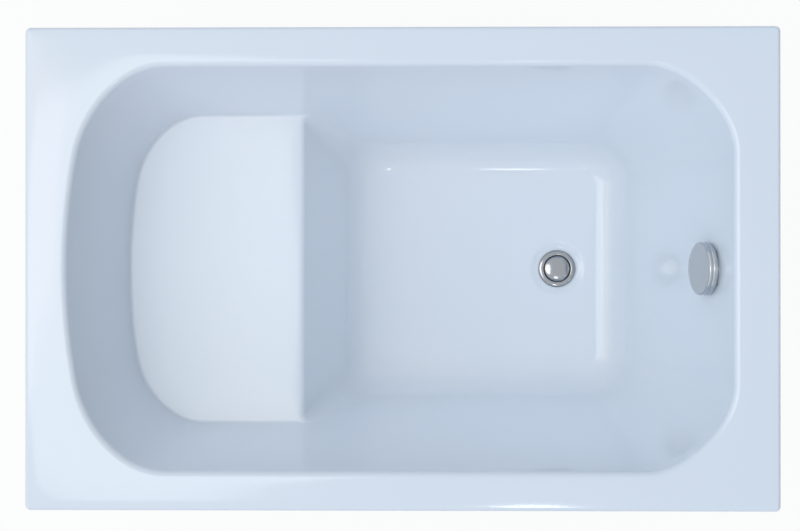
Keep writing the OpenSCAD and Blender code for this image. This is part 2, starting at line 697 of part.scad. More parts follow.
cup_r = 44;
cup_depth = 162.8;
cup_z = dish_z - cup_depth;
cup_top_depth = 95;
cup_top = dish_z - cup_top_depth;
collar_r = 35;
seal_under = 2;
outlet_depth = 119;
outlet_z = dish_z - outlet_depth;
outlet_neck = 10;
cap_wall = 4;
cap_base = 6;
cap_grip = 16;
module trap_nut() {
  z = neck_flange_z + neck_flange_t + 0.3;
  color(PLASTIC) at_waste() difference() {
    cylinder_at(collar_r + 6, cup_top + 2, z + 4);
    cylinder_at(collar_r + fit, cup_top, z);
    cylinder_at(neck_r + 0.3, cup_top, z + 6);
  }
}
module cylinder_at(r, z, top) { translate([0, 0, z]) cylinder(r = r, h = top - z); }
module trap_seal() {
  color(RUBBER) at_waste() hoop(dip_r + fit, neck_flange_r, neck_flange_z - seal_under, neck_flange_z);
}
module trap_cup() {
  color(PLASTIC) at_waste() difference() {
    union() {
      cylinder_at(cup_r, cup_z, cup_top);
      cylinder_at(collar_r, cup_top - 1, neck_flange_z - seal_under);
      translate([0, 0, outlet_z]) rotate([-90, 0, 0]) {
        cylinder(d = outlet_d - 1, h = cup_r + outlet_neck + 1);
        translate([0, 0, cup_r + outlet_neck]) cylinder(d = outlet_d, h = outlet_l);
      }
    }
    cylinder_at(cup_r - bowl_wall, cup_z - 1, cup_top - bowl_wall);
    cylinder_at(dip_r + 1.5, cup_z, neck_flange_z);
    translate([0, 0, outlet_z]) rotate([-90, 0, 0])
      cylinder(d = outlet_d - 2 * bowl_wall, h = cup_r + outlet_neck + outlet_l + 1);
  }
}
module trap_cap() {
  color(PLASTIC) at_waste() difference() {
    cylinder_at(cup_r + cap_wall, cup_z - cap_base, cup_z + cap_grip);
    cylinder_at(cup_r + fit, cup_z - 0.2, cup_z + cap_grip + 1);
  }
}

// ---- overflow, knob and pull cable ----
overflow_r = overflow_hole_d / 2;
overflow_gasket_t = 2;
bowl_back = 48;
plate_t = 3;
spindle_r = 4;
plate_screw_r = 21;
knob_z = tub_h - knob_depth;
hose_behind = 26.8;
hose_x = wall(well_drain, drain_draft, knob_z, 0) + hose_behind;
spigot_drop = 55;
spigot_z = knob_z - spigot_drop;
spigot_h = 40;
pull_top_y = 22;
pull_top_drop = 41;
pull_top_z = knob_z - pull_top_drop;
pull_sleeve_h = 28;
crank_back = 36;
crank_pin_l = 6;
module overflow_plate() {
  color(CHROME) at_knob() difference() {
    union() {
      cylinder(r = overflow_r + 4, h = plate_t);
      cylinder(r = spindle_r + 4, h = knob_gap - 0.4);
    }
    translate([0, 0, -1]) cylinder(r = spindle_r + fit, h = knob_gap + 2);
    for (a = [45:90:315]) rotate(a) translate([plate_screw_r - 4, 0, -1]) cylinder(r = 5.5, h = plate_t + 2);
    for (s = [-1, 1]) translate([0, s * plate_screw_r, -1]) cylinder(r = 2 + fit, h = plate_t + 2);
  }
}
module overflow_screws() {
  color(CHROME) at_knob() for (s = [-1, 1]) translate([0, s * plate_screw_r, -20]) {
    cylinder(r = 2, h = 20 + plate_t);
    translate([0, 0, 20 + plate_t]) cylinder(r = 3.8, h = 1.2);
  }
}
module overflow_gasket() {
  color(RUBBER) at_knob() hoop(overflow_r + fit, overflow_r + 8, -sheet_t - overflow_gasket_t, -sheet_t);
}
module overflow_body() {
  face = -sheet_t - overflow_gasket_t;
  color(PLASTIC) difference() {
    union() {
      at_knob() {
        translate([0, 0, face - 5]) cylinder(r = overflow_r + 9, h = 5);
        translate([0, 0, -bowl_back]) cylinder(r = overflow_r + bowl_wall, h = bowl_back + face);
      }
      translate([hose_x, 0, spigot_z]) cylinder(r = port_r, h = spigot_h);
      translate([hose_x, pull_top_y, pull_top_z]) cylinder(r = cable_d / 2 + 2, h = pull_sleeve_h);
    }
    difference() {
      at_knob() translate([0, 0, bowl_wall - bowl_back]) cylinder(r = overflow_r, h = bowl_back + 10);
      at_knob() for (s = [-1, 1]) translate([0, s * plate_screw_r, -bowl_back]) {
        cylinder(r = 4.5, h = bowl_back - 2);
        translate([-4.5, s > 0 ? 0 : -8, 0]) cube([9, 8, bowl_back + face]);
      }
    }
    at_knob() for (s = [-1, 1]) translate([0, s * plate_screw_r, -22]) cylinder(r = 2 + fit, h = 30);
    at_knob() translate([0, 0, 0.6 - bowl_back]) cylinder(r = spindle_r + fit, h = bowl_back);
    translate([hose_x, 0, spigot_z - 1]) cylinder(d = hose_bore, h = spigot_h - 6);
    translate([hose_x, pull_top_y, pull_top_z - 1]) cylinder(r = 1.5, h = pull_sleeve_h - 2);
  }
}
module overflow_knob() {
  r = knob_d / 2;
  color(CHROME) at_knob() translate([0, 0, knob_gap]) rotate_extrude() polygon(concat(
    [[0, 8], [spindle_r + fit, 8], [spindle_r + fit, 0], [r - 2, 0]],
    [for (i = [1:4]) let (a = 90 * i / 4) [r - 2 + 2 * sin(a), 2 - 2 * cos(a)]],
    [[r, knob_t * 0.4], [r - 1.2, knob_t * 0.4 + 0.8], [r - 1.2, knob_t * 0.6 - 0.8], [r, knob_t * 0.6]],
    [for (i = [0:4]) let (a = 90 * i / 4) [r - 3 + 3 * cos(a), knob_t - 3 + 3 * sin(a)]],
    [[0, knob_t]]));
}
module knob_spindle() {
  color(BRASS) at_knob() {
    translate([0, 0, 0.8 - bowl_back]) cylinder(r = spindle_r, h = bowl_back + knob_gap + 7);
    translate([0, 0, -crank_back]) cylinder(r = crank_r + 4, h = 4);
    rotate(90 + knob_turn / 2) translate([crank_r, 0, 1 - crank_back - crank_pin_l])
      cylinder(r = 1.5, h = crank_pin_l);
  }
}

// Bends of the overflow hose and the pull cable, from the overflow down to the waste, as places in X and Z
// from their lower ends. A route is stretched to the true places of its two ends.
hose_bends = [[166, 372], [166, 352], [166, 322], [166, 292], [166, 262], [166, 232], [166, 202], [166, 172],
  [164, 142], [160, 113], [150, 84], [135, 58], [115, 34], [90, 16], [62, 4], [32, 0], [10, 0], [0, 0]];
cable_bends = [[180, 372], [180, 348], [180, 318], [180, 278], [180, 238], [180, 198], [179, 158], [176, 124],
  [168, 92], [154, 62], [134, 36], [108, 16], [78, 5], [46, 1], [20, 0], [0, 0]];
// How far the cable swings to one side of its lower end
cable_sides_out = [5, 5, 6, 7, 7, 7, 7, 7, 7, 7, 7, 7, 5, 2, 0, 0];
function route(bends, swings, top, low) =
  let (stretch_x = (top.x - low.x) / bends[0].x, stretch_z = (top.z - low.z) / bends[0].y)
  [for (i = [0:len(bends) - 1])
    [low.x + bends[i].x * stretch_x, low.y + swings[i], low.z + bends[i].y * stretch_z]];
hose_route = route(hose_bends, [for (b = hose_bends) 0], [hose_x, 0, spigot_z],
  [waste_x + port_end, 0, port_z]);
cable_route = route(cable_bends, cable_sides_out, [hose_x, pull_top_y, pull_top_z],
  [waste_x + pull_boss_end, pull_y, pull_z]);
// A point on the smooth curve through a route, at u steps from its start
function along(route, u) =
  let (n = len(route) - 1, i = min(floor(u), n - 1), k = u - i,
    b = route[i], c = route[i + 1],
    m = i == 0 ? c - b : (c - route[i - 1]) / 2,
    q = i == n - 1 ? c - b : (route[i + 2] - b) / 2)
  (2 * k * k * k - 3 * k * k + 1) * b + (k * k * k - 2 * k * k + k) * m
    + (3 * k * k - 2 * k * k * k) * c + (k * k * k - k * k) * q;
// A ring of s points and radius r about the curve; the curve keeps near the plane of X and Z
function ring_along(route, u, r, s) =
  let (n = len(route) - 1, a = along(route, max(0, u - 0.01)), b = along(route, min(n, u + 0.01)),
    d = (b - a) / norm(b - a), w0 = cross(d, [0, 1, 0]), w = w0 / norm(w0), v = cross(w, d),
    p = along(route, u))
  [for (i = [0:s - 1]) let (t = 360 * (i + 0.5) / s) p + r * (cos(t) * w + sin(t) * v)];
module tube_along(rings, inner) {
  s = len(rings[0]);
  n = len(rings);
  m = len(inner);
  points = concat([for (r = rings) for (p = r) p], [for (r = inner) for (p = r) p]);
  o = n * s;
  outer_faces = [for (i = [0:n - 2]) for (k = [0:s - 1])
    let (a = i * s + k, b = i * s + (k + 1) % s) each [[a, b, b + s], [a, b + s, a + s]]];
  inner_faces = [for (i = [0:m - 2]) for (k = [0:s - 1])
    let (a = o + i * s + k, b = o + i * s + (k + 1) % s) each [[a, b + s, b], [a, a + s, b + s]]];
  ends = m > 0
    ? [for (k = [0:s - 1]) let (b = (k + 1) % s, e = (n - 1) * s, f = o + (m - 1) * s)
        each [[k, o + k, o + b], [k, o + b, b], [e + k, e + b, f + b], [e + k, f + b, f + k]]]
    : [for (k = [1:s - 2]) let (e = (n - 1) * s) each [[0, k + 1, k], [e, e + k, e + k + 1]]];
  polyhedron(points, concat(outer_faces, inner_faces, ends));
}
hose_ribs = 84;
hose_sides = 8;
hose_bore_rings = 30;
hose_cuff = 1.6;
rib_depth = 2;
module overflow_hose() {
  n = len(hose_route) - 1;
  from = hose_cuff;
  to = n - hose_cuff;
  ribs = [for (i = [0:hose_ribs]) for (k = [0, 1])
    [from + (to - from) * (i + k / 2) / (hose_ribs + 0.5), hose_d / 2 - k * rib_depth]];
  places = concat([[0, port_r], [from - 0.05, port_r]], ribs, [[to + 0.05, port_r], [n, port_r]]);
  rings = [for (q = places) ring_along(hose_route, q[0], q[1], hose_sides)];
  bore = [for (i = [0:hose_bore_rings])
    ring_along(hose_route, n * i / hose_bore_rings, hose_bore / 2, hose_sides)];
  color("#d9dcdf") tube_along(rings, bore);
}
nut_half = 12;
nut_wall = 4;
module hose_nuts() {
  color(PLASTIC) {
    translate([hose_x, 0, 0]) hoop(port_r + fit, port_r + nut_wall, spigot_z - nut_half, spigot_z + nut_half);
    translate([waste_x + port_end, 0, port_z]) rotate([0, 90, 0])
      hoop(port_r + fit, port_r + nut_wall, -nut_half, nut_half);
  }
}
cable_rings = 44;
cable_sides = 8;
module pull_cable() {
  n = len(cable_route) - 1;
  rings = [for (i = [0:cable_rings]) ring_along(cable_route, n * i / cable_rings, cable_d / 2, cable_sides)];
  color(RUBBER) tube_along(rings, []);
}

acrylic_shell();
glass_fibre_backing();
rim_boards_side();
rim_boards_end();
seat_board();
floor_board();
top_rail_side(-1);  // top_rail_front
top_rail_side(1);  // top_rail_back
top_rail_end(-1);  // top_rail_seat_end
top_rail_end(1);  // top_rail_drain_end
corner_post(0);  // corner_post_1
corner_post(1);  // corner_post_2
corner_post(2);  // corner_post_3
corner_post(3);  // corner_post_4
base_rail_side(-1);  // base_rail_front
base_rail_side(1);  // base_rail_back
base_rail_end(-1);  // base_rail_seat_end
base_rail_end(1);  // base_rail_drain_end
floor_rail(-1);  // floor_rail_front
floor_rail(1);  // floor_rail_back
seat_rail();
seat_post(-1);  // seat_post_front
seat_post(1);  // seat_post_back
rim_screws();
board_screws();
wall_brackets();
post_plugs();
lock_nuts();
foot_pad(0);  // foot_pad_1
foot_pad(1);  // foot_pad_2
foot_pad(2);  // foot_pad_3
foot_pad(3);  // foot_pad_4
foot_stud(0);  // foot_stud_1
foot_stud(1);  // foot_stud_2
foot_stud(2);  // foot_stud_3
foot_stud(3);  // foot_stud_4
waste_flange();
waste_gasket();
under_gasket();
waste_body();
plug_cap();
plug_seal();
plug_stem();
lift_lever();
trap_nut();
trap_seal();
trap_cup();
trap_cap();
overflow_plate();
overflow_gasket();
overflow_body();
overflow_screws();
overflow_knob();
knob_spindle();
hose_nuts();
overflow_hose();
pull_cable();
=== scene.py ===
"""Deep sitting bath with a moulded seat, on its levelling frame, with a turn-knob waste and overflow.

Shapes are worked out in millimetres as whole arrays, and put into meshes in metres, in the part's own frame:
X along the bath with the drain end at +X, Y across it, Z up from the floor.
"""

import json

import bmesh
import bpy
import numpy as np
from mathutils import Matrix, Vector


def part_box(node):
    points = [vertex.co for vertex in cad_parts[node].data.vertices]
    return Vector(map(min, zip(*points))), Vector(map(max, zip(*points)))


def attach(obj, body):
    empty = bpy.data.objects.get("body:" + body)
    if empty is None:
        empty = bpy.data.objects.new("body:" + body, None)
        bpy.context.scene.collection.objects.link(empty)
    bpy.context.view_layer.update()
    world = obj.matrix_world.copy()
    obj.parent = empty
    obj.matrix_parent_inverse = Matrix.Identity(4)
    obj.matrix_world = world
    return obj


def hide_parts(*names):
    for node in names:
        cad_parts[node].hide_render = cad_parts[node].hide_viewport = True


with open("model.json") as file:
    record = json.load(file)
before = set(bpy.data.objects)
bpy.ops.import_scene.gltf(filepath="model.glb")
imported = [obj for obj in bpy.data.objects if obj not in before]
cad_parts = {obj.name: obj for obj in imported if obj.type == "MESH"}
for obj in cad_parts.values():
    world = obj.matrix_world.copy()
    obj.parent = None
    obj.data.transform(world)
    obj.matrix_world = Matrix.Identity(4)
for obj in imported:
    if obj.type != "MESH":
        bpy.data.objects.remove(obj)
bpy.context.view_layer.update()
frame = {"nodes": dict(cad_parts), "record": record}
scene = bpy.context.scene
MM = 0.001


def sin(a):
    """Sine of an angle in degrees."""
    return np.sin(np.radians(a))


def cos(a):
    """Cosine of an angle in degrees."""
    return np.cos(np.radians(a))


def tan(a):
    """Tangent of an angle in degrees."""
    return np.tan(np.radians(a))


# ---- camera: over the bath, looking down ----
camera = bpy.data.objects.new("camera", bpy.data.cameras.new("camera"))
scene.collection.objects.link(camera)
camera.data.sensor_width = 36.0
camera.data.lens = 61.95
camera.location = (0.025, 0.001, 2.64)
camera.rotation_euler = (0.0019, 0.0136, 0.0)
camera.data.clip_start = 0.05
camera.data.clip_end = 60.0
scene.camera = camera


# ---- finishes ----
def add_node(tree, kind, output, inputs=None, **settings):
    """One shader node with its settings and inputs, which are values or other nodes' outputs."""
    n = tree.nodes.new(kind)
    for key, value in settings.items():
        setattr(n, key, value)
    for key, value in (inputs or {}).items():
        if isinstance(value, bpy.types.NodeSocket):
            tree.links.new(value, n.inputs[key])
        else:
            n.inputs[key].default_value = value
    return n.outputs[output]


class Finish:
    """A node material. Its methods add one node each and return the node's output."""

    def __init__(self, name, colour, roughness, metallic=0.0):
        self.mat = bpy.data.materials.new(name)
        self.mat.use_nodes = True
        self.mat.diffuse_color = (*colour, 1.0)
        self.tree = self.mat.node_tree
        self.shader = self.tree.nodes["Principled BSDF"]
        self.set("Base Color", (*colour, 1.0))
        self.set("Roughness", roughness)
        self.set("Metallic", metallic)
        self.place = self.tree.nodes.new("ShaderNodeTexCoord").outputs["Object"]

    def set(self, socket, value):
        """Gives a socket of the shader a value or another node's output."""
        if isinstance(value, bpy.types.NodeSocket):
            self.tree.links.new(value, self.shader.inputs[socket])
        else:
            self.shader.inputs[socket].default_value = value

    def node(self, kind, output, inputs=None, **settings):
        """One node in this material's tree."""
        return add_node(self.tree, kind, output, inputs, **settings)

    def stretched(self, scale, turn=(0.0, 0.0, 0.0)):
        """Place on the piece, stretched and turned, for a grain that runs one way."""
        return self.node("ShaderNodeMapping", "Vector",
                         {"Vector": self.place, "Scale": scale, "Rotation": turn})

    def cloud(self, size_mm, detail=2.0, place=None):
        """Soft noise whose features are size_mm across."""
        return self.node("ShaderNodeTexNoise", "Fac",
                         {"Vector": place or self.place, "Scale": 1 / (size_mm * MM), "Detail": detail})

    def cells(self, size_mm, place=None):
        """Flakes about size_mm across, each with a tone of its own."""
        return self.node("ShaderNodeTexVoronoi", "Color",
                         {"Vector": place or self.place, "Scale": 1 / (size_mm * MM)})

    def span(self, value, low, high, from_low=0.0, from_high=1.0):
        """A value moved from one range to another, in proportion."""
        return self.node("ShaderNodeMapRange", "Result",
                         {"Value": value, "From Min": from_low, "From Max": from_high, "To Min": low,
                          "To Max": high})

    def tint(self, value, *stops):
        """Colours along a ramp, each stop a place and a colour."""
        n = self.tree.nodes.new("ShaderNodeValToRGB")
        self.tree.links.new(value, n.inputs["Fac"])
        ramp = n.color_ramp
        while len(ramp.elements) < len(stops):
            ramp.elements.new(0.5)
        for element, (at, colour) in zip(ramp.elements, stops):
            element.position = at
            element.color = (*colour, 1.0)
        return n.outputs["Color"]

    def bumps(self, height, depth_mm, strength=1.0, normal=None):
        """Relief of the given depth, laid over the relief in normal."""
        inputs = {"Height": height, "Distance": depth_mm * MM, "Strength": strength}
        if normal is not None:
            inputs["Normal"] = normal
        out = self.node("ShaderNodeBump", "Normal", inputs)
        self.set("Normal", out)
        return out


def acrylic_finish():
    """Cast acrylic: glossy, faintly wavy from the forming mould, with fine wiping haze in its gloss."""
    f = Finish("gloss_acrylic", (0.87, 0.91, 0.955), 0.1)
    f.set("IOR", 1.49)
    f.set("Roughness", f.span(f.cloud(60, 4), 0.08, 0.12))
    tone = f.cloud(240, 2)
    f.set("Base Color", f.tint(tone, (0.3, (0.866, 0.907, 0.953)), (0.7, (0.874, 0.913, 0.957))))
    wave = f.bumps(f.cloud(45, 1), 0.12, 0.35)
    f.bumps(f.cloud(2.2, 2), 0.008, 0.4, wave)
    return f.mat


def chrome_finish(name, tone, rough):
    """Plating with a trace of wiping marks."""
    f = Finish(name, tone, rough, 1.0)
    f.set("Roughness", f.span(f.cloud(9, 5), rough - 0.02, rough + 0.04))
    f.bumps(f.cloud(14, 2), 0.01, 0.25)
    return f.mat


def laminate_finish():
    """Sprayed resin over chopped glass strands that lie every way: cream, half matt and lumpy."""
    f = Finish("sprayed_laminate", (0.62, 0.58, 0.42), 0.45)
    strands = None
    for turn in (0.3, 1.3, 2.4):
        one = f.span(f.cloud(26, 3, f.stretched((1.0, 14.0, 14.0), (turn, turn, turn))), 0, 1, 0.55, 0.68)
        strands = one if strands is None else f.node("ShaderNodeMath", "Value", {0: one, 1: strands},
                                                     operation="MAXIMUM")
    f.set("Base Color", f.tint(strands, (0.0, (0.56, 0.51, 0.35)), (1.0, (0.72, 0.69, 0.56))))
    f.set("Roughness", f.span(strands, 0.38, 0.6))
    lumps = f.bumps(f.cloud(14, 4), 0.9, 0.7)
    f.bumps(strands, 0.25, 0.6, lumps)
    return f.mat


def board_finish():
    """Chipboard: pressed flakes of many tones, with small pits between them."""
    f = Finish("chipboard", (0.50, 0.36, 0.20), 0.75)
    flakes = f.cells(5, place=f.stretched((1.0, 0.55, 1.6), (0.2, 0.1, 0.6)))
    grain = f.cloud(1.6, 3)
    mixed = f.node("ShaderNodeMath", "Value", {0: flakes, 1: grain}, operation="MULTIPLY")
    f.set("Base Color", f.tint(mixed, (0.0, (0.26, 0.16, 0.08)), (0.25, (0.46, 0.32, 0.17)),
                               (0.7, (0.64, 0.49, 0.29))))
    f.bumps(mixed, 0.25, 0.8)
    return f.mat


def frame_finish():
    """Zinc-grey coated tube with a faint mottle and drawing lines along it."""
    f = Finish("coated_tube", (0.34, 0.37, 0.40), 0.42, 0.55)
    mottle = f.cells(5)
    f.set("Base Color", f.tint(mottle, (0.0, (0.31, 0.34, 0.37)), (1.0, (0.40, 0.43, 0.46))))
    f.set("Roughness", f.span(f.cloud(3, 4), 0.34, 0.52))
    f.bumps(f.cloud(1.2, 3), 0.03, 0.5)
    return f.mat


def zinc_finish():
    """Zinc plate, blue-grey with a warm cast in patches and fine tool marks."""
    f = Finish("zinc_plate", (0.60, 0.61, 0.60), 0.3, 1.0)
    f.set("Base Color", f.tint(f.cloud(6, 3), (0.35, (0.56, 0.58, 0.60)), (0.7, (0.64, 0.62, 0.55))))
    f.set("Roughness", f.span(f.cloud(2, 5), 0.22, 0.42))
    f.bumps(f.cloud(0.7, 2), 0.01, 0.5)
    return f.mat


def plastic_finish():
    """Moulded white plastic with a fine spark-eroded texture."""
    f = Finish("white_moulding", (0.80, 0.81, 0.81), 0.38)
    f.set("Base Color", f.tint(f.cloud(30, 2), (0.3, (0.78, 0.79, 0.79)), (0.7, (0.82, 0.83, 0.83))))
    f.set("Roughness", f.span(f.cloud(4, 3), 0.32, 0.46))
    f.bumps(f.cloud(0.5, 2), 0.02, 0.5)
    return f.mat


def rubber_finish(name, tone, roughness):
    """Black rubber with a dusty bloom in its fine grain."""
    f = Finish(name, (tone, tone, tone * 1.05), roughness)
    f.set("Base Color", f.tint(f.cloud(3, 5), (0.35, (tone, tone, tone)), (0.8, (tone * 2.2,) * 3)))
    f.set("Roughness", f.span(f.cloud(1.5, 3), roughness - 0.1, roughness + 0.12))
    f.bumps(f.cloud(0.6, 2), 0.04, 0.6)
    return f.mat


def brass_finish():
    """Turned brass, slightly dulled, with tool rings across its length."""
    f = Finish("turned_brass", (0.60, 0.44, 0.19), 0.3, 1.0)
    f.set("Base Color", f.tint(f.cloud(5, 4), (0.35, (0.50, 0.36, 0.16)), (0.7, (0.66, 0.49, 0.22))))
    f.set("Roughness", f.span(f.cloud(3, 3), 0.22, 0.4))
    f.bumps(f.cloud(0.4, 2, f.stretched((0.1, 0.1, 2.0))), 0.015, 0.6)
    return f.mat


def hose_finish():
    """Blown pale grey hose, satin, a little unevenly coloured along its length."""
    f = Finish("blown_hose", (0.60, 0.63, 0.65), 0.4)
    f.set("Base Color", f.tint(f.cloud(40, 3), (0.3, (0.56, 0.59, 0.61)), (0.7, (0.64, 0.67, 0.69))))
    f.set("Roughness", f.span(f.cloud(2, 3), 0.32, 0.48))
    f.bumps(f.cloud(1.5, 2), 0.04, 0.4)
    return f.mat


FINISHES = {
    "acrylic": acrylic_finish(),
    "glass_fibre": laminate_finish(),
    "board": board_finish(),
    "frame_steel": frame_finish(),
    "zinc_steel": zinc_finish(),
    "white_plastic": plastic_finish(),
    "foot_rubber": rubber_finish("foot_rubber", 0.022, 0.7),
    "seal_rubber": rubber_finish("seal_rubber", 0.028, 0.55),
    "chrome": chrome_finish("bright_chrome", (0.53, 0.55, 0.58), 0.06),
    "brass": brass_finish(),
    "hose_plastic": hose_finish(),
    "cable_sheath": rubber_finish("cable_sheath", 0.03, 0.45),
}


# ---- meshes ----
def weld(mesh, reach=2e-6):
    """Merges doubled points, so seams and poles close, and turns all faces outwards."""
    bm = bmesh.new()
    bm.from_mesh(mesh)
    bmesh.ops.remove_doubles(bm, verts=bm.verts, dist=reach)
    bmesh.ops.recalc_face_normals(bm, faces=bm.faces)
    bm.to_mesh(mesh)
    bm.free()


def piece(name, parts, finish, body, *nodes, crease=35.0):
    """One object from a list of (points in mm, quads), welded, on a body, in place of CAD nodes."""
    points, quads, base = [], [], 0
    for p, q in parts:
        points.append(p.reshape(-1, 3))
        quads.append(q + base)
        base += len(points[-1])
    points = np.concatenate(points) * MM
    quads = np.concatenate(quads)
    mesh = bpy.data.meshes.new(name)
    mesh.vertices.add(len(points))
    mesh.vertices.foreach_set("co", points.astype(np.float32).ravel())
    mesh.loops.add(quads.size)
    mesh.loops.foreach_set("vertex_index", quads.astype(np.int32).ravel())
    mesh.polygons.add(len(quads))
    mesh.polygons.foreach_set("loop_start", np.arange(0, quads.size, 4, dtype=np.int32))
    mesh.update(calc_edges=True)
    weld(mesh)
    mesh.polygons.foreach_set("use_smooth", np.ones(len(mesh.polygons), bool))
    mesh.set_sharp_from_angle(angle=np.radians(crease))
    mesh.materials.append(FINISHES[finish])
    obj = bpy.data.objects.new(name, mesh)
    scene.collection.objects.link(obj)
    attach(obj, body)
    if nodes:
        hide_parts(*nodes)
    return obj


def net(rows, columns, round_rows=False, round_columns=False):
    """Quads of a grid of rows by columns of points, joined round where asked."""
    i = np.arange(rows if round_rows else rows - 1)[:, None]
    j = np.arange(columns if round_columns else columns - 1)[None, :]
    i2, j2 = (i + 1) % rows, (j + 1) % columns
    return np.stack([i * columns + j, i * columns + j2, i2 * columns + j2, i2 * columns + j],
                    axis=-1).reshape(-1, 4)


def softened(corners, radius, steps=4, closed=True):
    """A profile whose corners are rounded: each corner gives way to a parabola between two points on its
    sides, radius away or just under half the side, whichever is less."""
    p = np.array(corners, float)
    r = np.broadcast_to(np.array(radius, float), len(p)).copy()
    if not closed:
        r[[0, -1]] = 0.0
    before, after = np.roll(p, 1, 0) - p, np.roll(p, -1, 0) - p
    lb, la = (np.maximum(np.linalg.norm(v, axis=1), 1e-9) for v in (before, after))
    a = p + before * (np.minimum(r, lb * 0.49) / lb)[:, None]
    b = p + after * (np.minimum(r, la * 0.49) / la)[:, None]
    k = np.linspace(0, 1, steps + 1)[None, :, None]
    curve = (1 - k) ** 2 * a[:, None] + 2 * k * (1 - k) * p[:, None] + k ** 2 * b[:, None]
    if closed:
        return curve.reshape(-1, p.shape[1])
    return np.concatenate([p[:1], curve[1:-1].reshape(-1, p.shape[1]), p[-1:]])


def turned(profile, sides=96, closed=False, ribs=0, depth=0.0, beyond=0.0):
    """A profile of (radius, height) carried round the Z axis. A closed profile makes a ring. Points further
    out than beyond are drawn in by a cosine wave of the given depth, once for each rib."""
    a = np.linspace(0, 360, sides, endpoint=False)[None, :]
    r, z = profile[:, :1], profile[:, 1:]
    r = r - (r > beyond) * depth * (1 - cos(ribs * a)) / 2
    grid = np.stack([r * cos(a), r * sin(a), z + 0 * a], axis=-1)
    return grid, net(len(profile), sides, closed, True)


def solid(rings):
    """Rings of points, one above the other, closed at both ends by fans to their middles."""
    rings = np.asarray(rings)
    ends = rings[[0, -1]].mean(axis=1, keepdims=True) + 0 * rings[[0, -1]]
    grid = np.concatenate([ends[:1], rings, ends[1:]])
    return grid, net(*grid.shape[:2], False, True)


def placed(part, place=(0, 0, 0), turn=None):
    """A part turned by a matrix, then moved."""
    points = part[0].reshape(-1, 3)
    return (points if turn is None else points @ np.asarray(turn).T) + np.array(place, float), part[1]


def along_axis(part, axis):
    """A part made along Z, laid along axis 0, 1 or 2."""
    return np.roll(part[0].reshape(-1, 3), axis + 1, axis=1), part[1]


# ---- the bath's sheet, from the part's own values ----
TUB_L, TUB_W, TUB_H, SKIRT_H = 1100.0, 705.0, 640.0, 38.0
RIM_CORNER, RIM_EDGE, LIP = 8.0, 6.0, 10.0
# Widths of the rim at the seat end, at the drain end and along the sides, and the well's edges they leave
RIM_SEAT, RIM_DRAIN, RIM_SIDE = 60.0, 66.0, 56.5
WELL_SEAT, WELL_DRAIN, WELL_SIDE = TUB_L / 2 - RIM_SEAT, TUB_L / 2 - RIM_DRAIN, TUB_W / 2 - RIM_SIDE
# The corners' reach, the fullness of their curves, how fast they shrink downwards, and the seat end's bow
DRAIN_CORNER, SEAT_CORNER = 128.0, 132.0
DRAIN_FULL, SEAT_FULL = 0.46, 0.5
DRAIN_SHRINK, SEAT_SHRINK = 0.82, 0.5
BOW = 1 / 910.0
SEAT_Z, FLOOR_Z = TUB_H - 250.0, TUB_H - 460.0
# Degrees by which the sides, the drain end, the seat end and the riser lean from upright
SIDE, DRAIN, SEAT, RISER = 10.0, 12.5, 9.5, 20.5
FRONT = 164.0
SEAT_EDGE, SEAT_COVE, FLOOR_COVE = 10.0, 5.0, 60.0
# The riser's corner radius behind the sheet at the seat and at the floor, and its share of the cove's draw-in
FILLET_TOP, FILLET_FLOOR, RISER_SHRINK = 12.0, 60.0, 0.4
ACRYLIC, SHEET = 5.0, 8.0
WASTE_INSET, WASTE_HOLE, FLANGE_D, CAP_D = 62.0, 52.6, 66.0, 45.0
# The waste's dish: its width and depth, and the radius of its level bottom
DISH_D, DISH, DISH_LOW = 100.0, 3.0, FLANGE_D / 2 + 4
# Handle of a cubic that follows a quarter circle, and the seat line's set back from the front edge
QUARTER, LINE_BACK = 0.5523, 3.0
# Drop of the ring on the foot well's wall from the seat's own height
DROP = 0.7
# Steps round a ring: seat's front corner, side, corner, bow, drain end
N_JOINT, N_SIDE, N_CORNER, N_BOW, N_END = 12, 14, 40, 16, 12
N_LEFT = N_JOINT + N_SIDE + N_CORNER + N_BOW


def tangent(r, a):
    """Tangent length of a rounding of radius r between a level face and one leaning by a from upright."""
    return r * tan((90 - a) / 2)


def wall(e, a, z, t):
    """Plan distance at height z of a wall leaning by a from its edge e at the rim, for the face t outside."""
    return e - (TUB_H - z) * tan(a) + t / cos(a)


def cove(h, r, a):
    """Draw-in of a fillet of radius r from its wall's line, h above the level face."""
    if h >= r * (1 - sin(a)):
        return 0.0
    return h * tan(a) + tangent(r, a) - np.sqrt(max(r * r - (r - h) ** 2, 0.0))


WASTE_X = wall(WELL_DRAIN, DRAIN, FLOOR_Z, 0) - tangent(FLOOR_COVE, DRAIN) - WASTE_INSET


def riser(z, t):
    """X of the riser at height z, for the face t outside: a plane leaning from the seat's front edge."""
    return -FRONT + (SEAT_Z - z) * tan(RISER) - t / cos(RISER)


def riser_fillet(z, t):
    """Radius of the riser's corner with the side: it grows evenly from the seat down to the floor."""
    return t + FILLET_TOP + (FILLET_FLOOR - FILLET_TOP) * (SEAT_Z - z) / (SEAT_Z - FLOOR_Z)


def joint_x(t):
    """X at which the riser's corner meets the side, at the seat's height."""
    return riser(SEAT_Z, t) + riser_fillet(SEAT_Z, t)


def seat_line(t):
    """X at which the seat's rings leave the joint's wave: just behind the front edge's rounding."""
    return -FRONT - tangent(SEAT_EDGE, RISER) - LINE_BACK - t / cos(RISER)


def line(p, q, n):
    """n points that step evenly from p, left out, to q."""
    k = np.arange(1, n + 1)[:, None] / n
    return np.array(p) + (np.array(q, float) - np.array(p, float)) * k


def bend(p, u, q, v, h, n):
    """n points of the cubic that leaves p along u and reaches q along v, with handles h long."""
    p, u, q, v = (np.array(w, float) for w in (p, u, q, v))
    k = np.arange(1, n + 1)[:, None] / n
    m = 1 - k
    return m ** 3 * p + 3 * m * m * k * (p + u * h) + 3 * m * k * k * (q - v * h) + k ** 3 * q


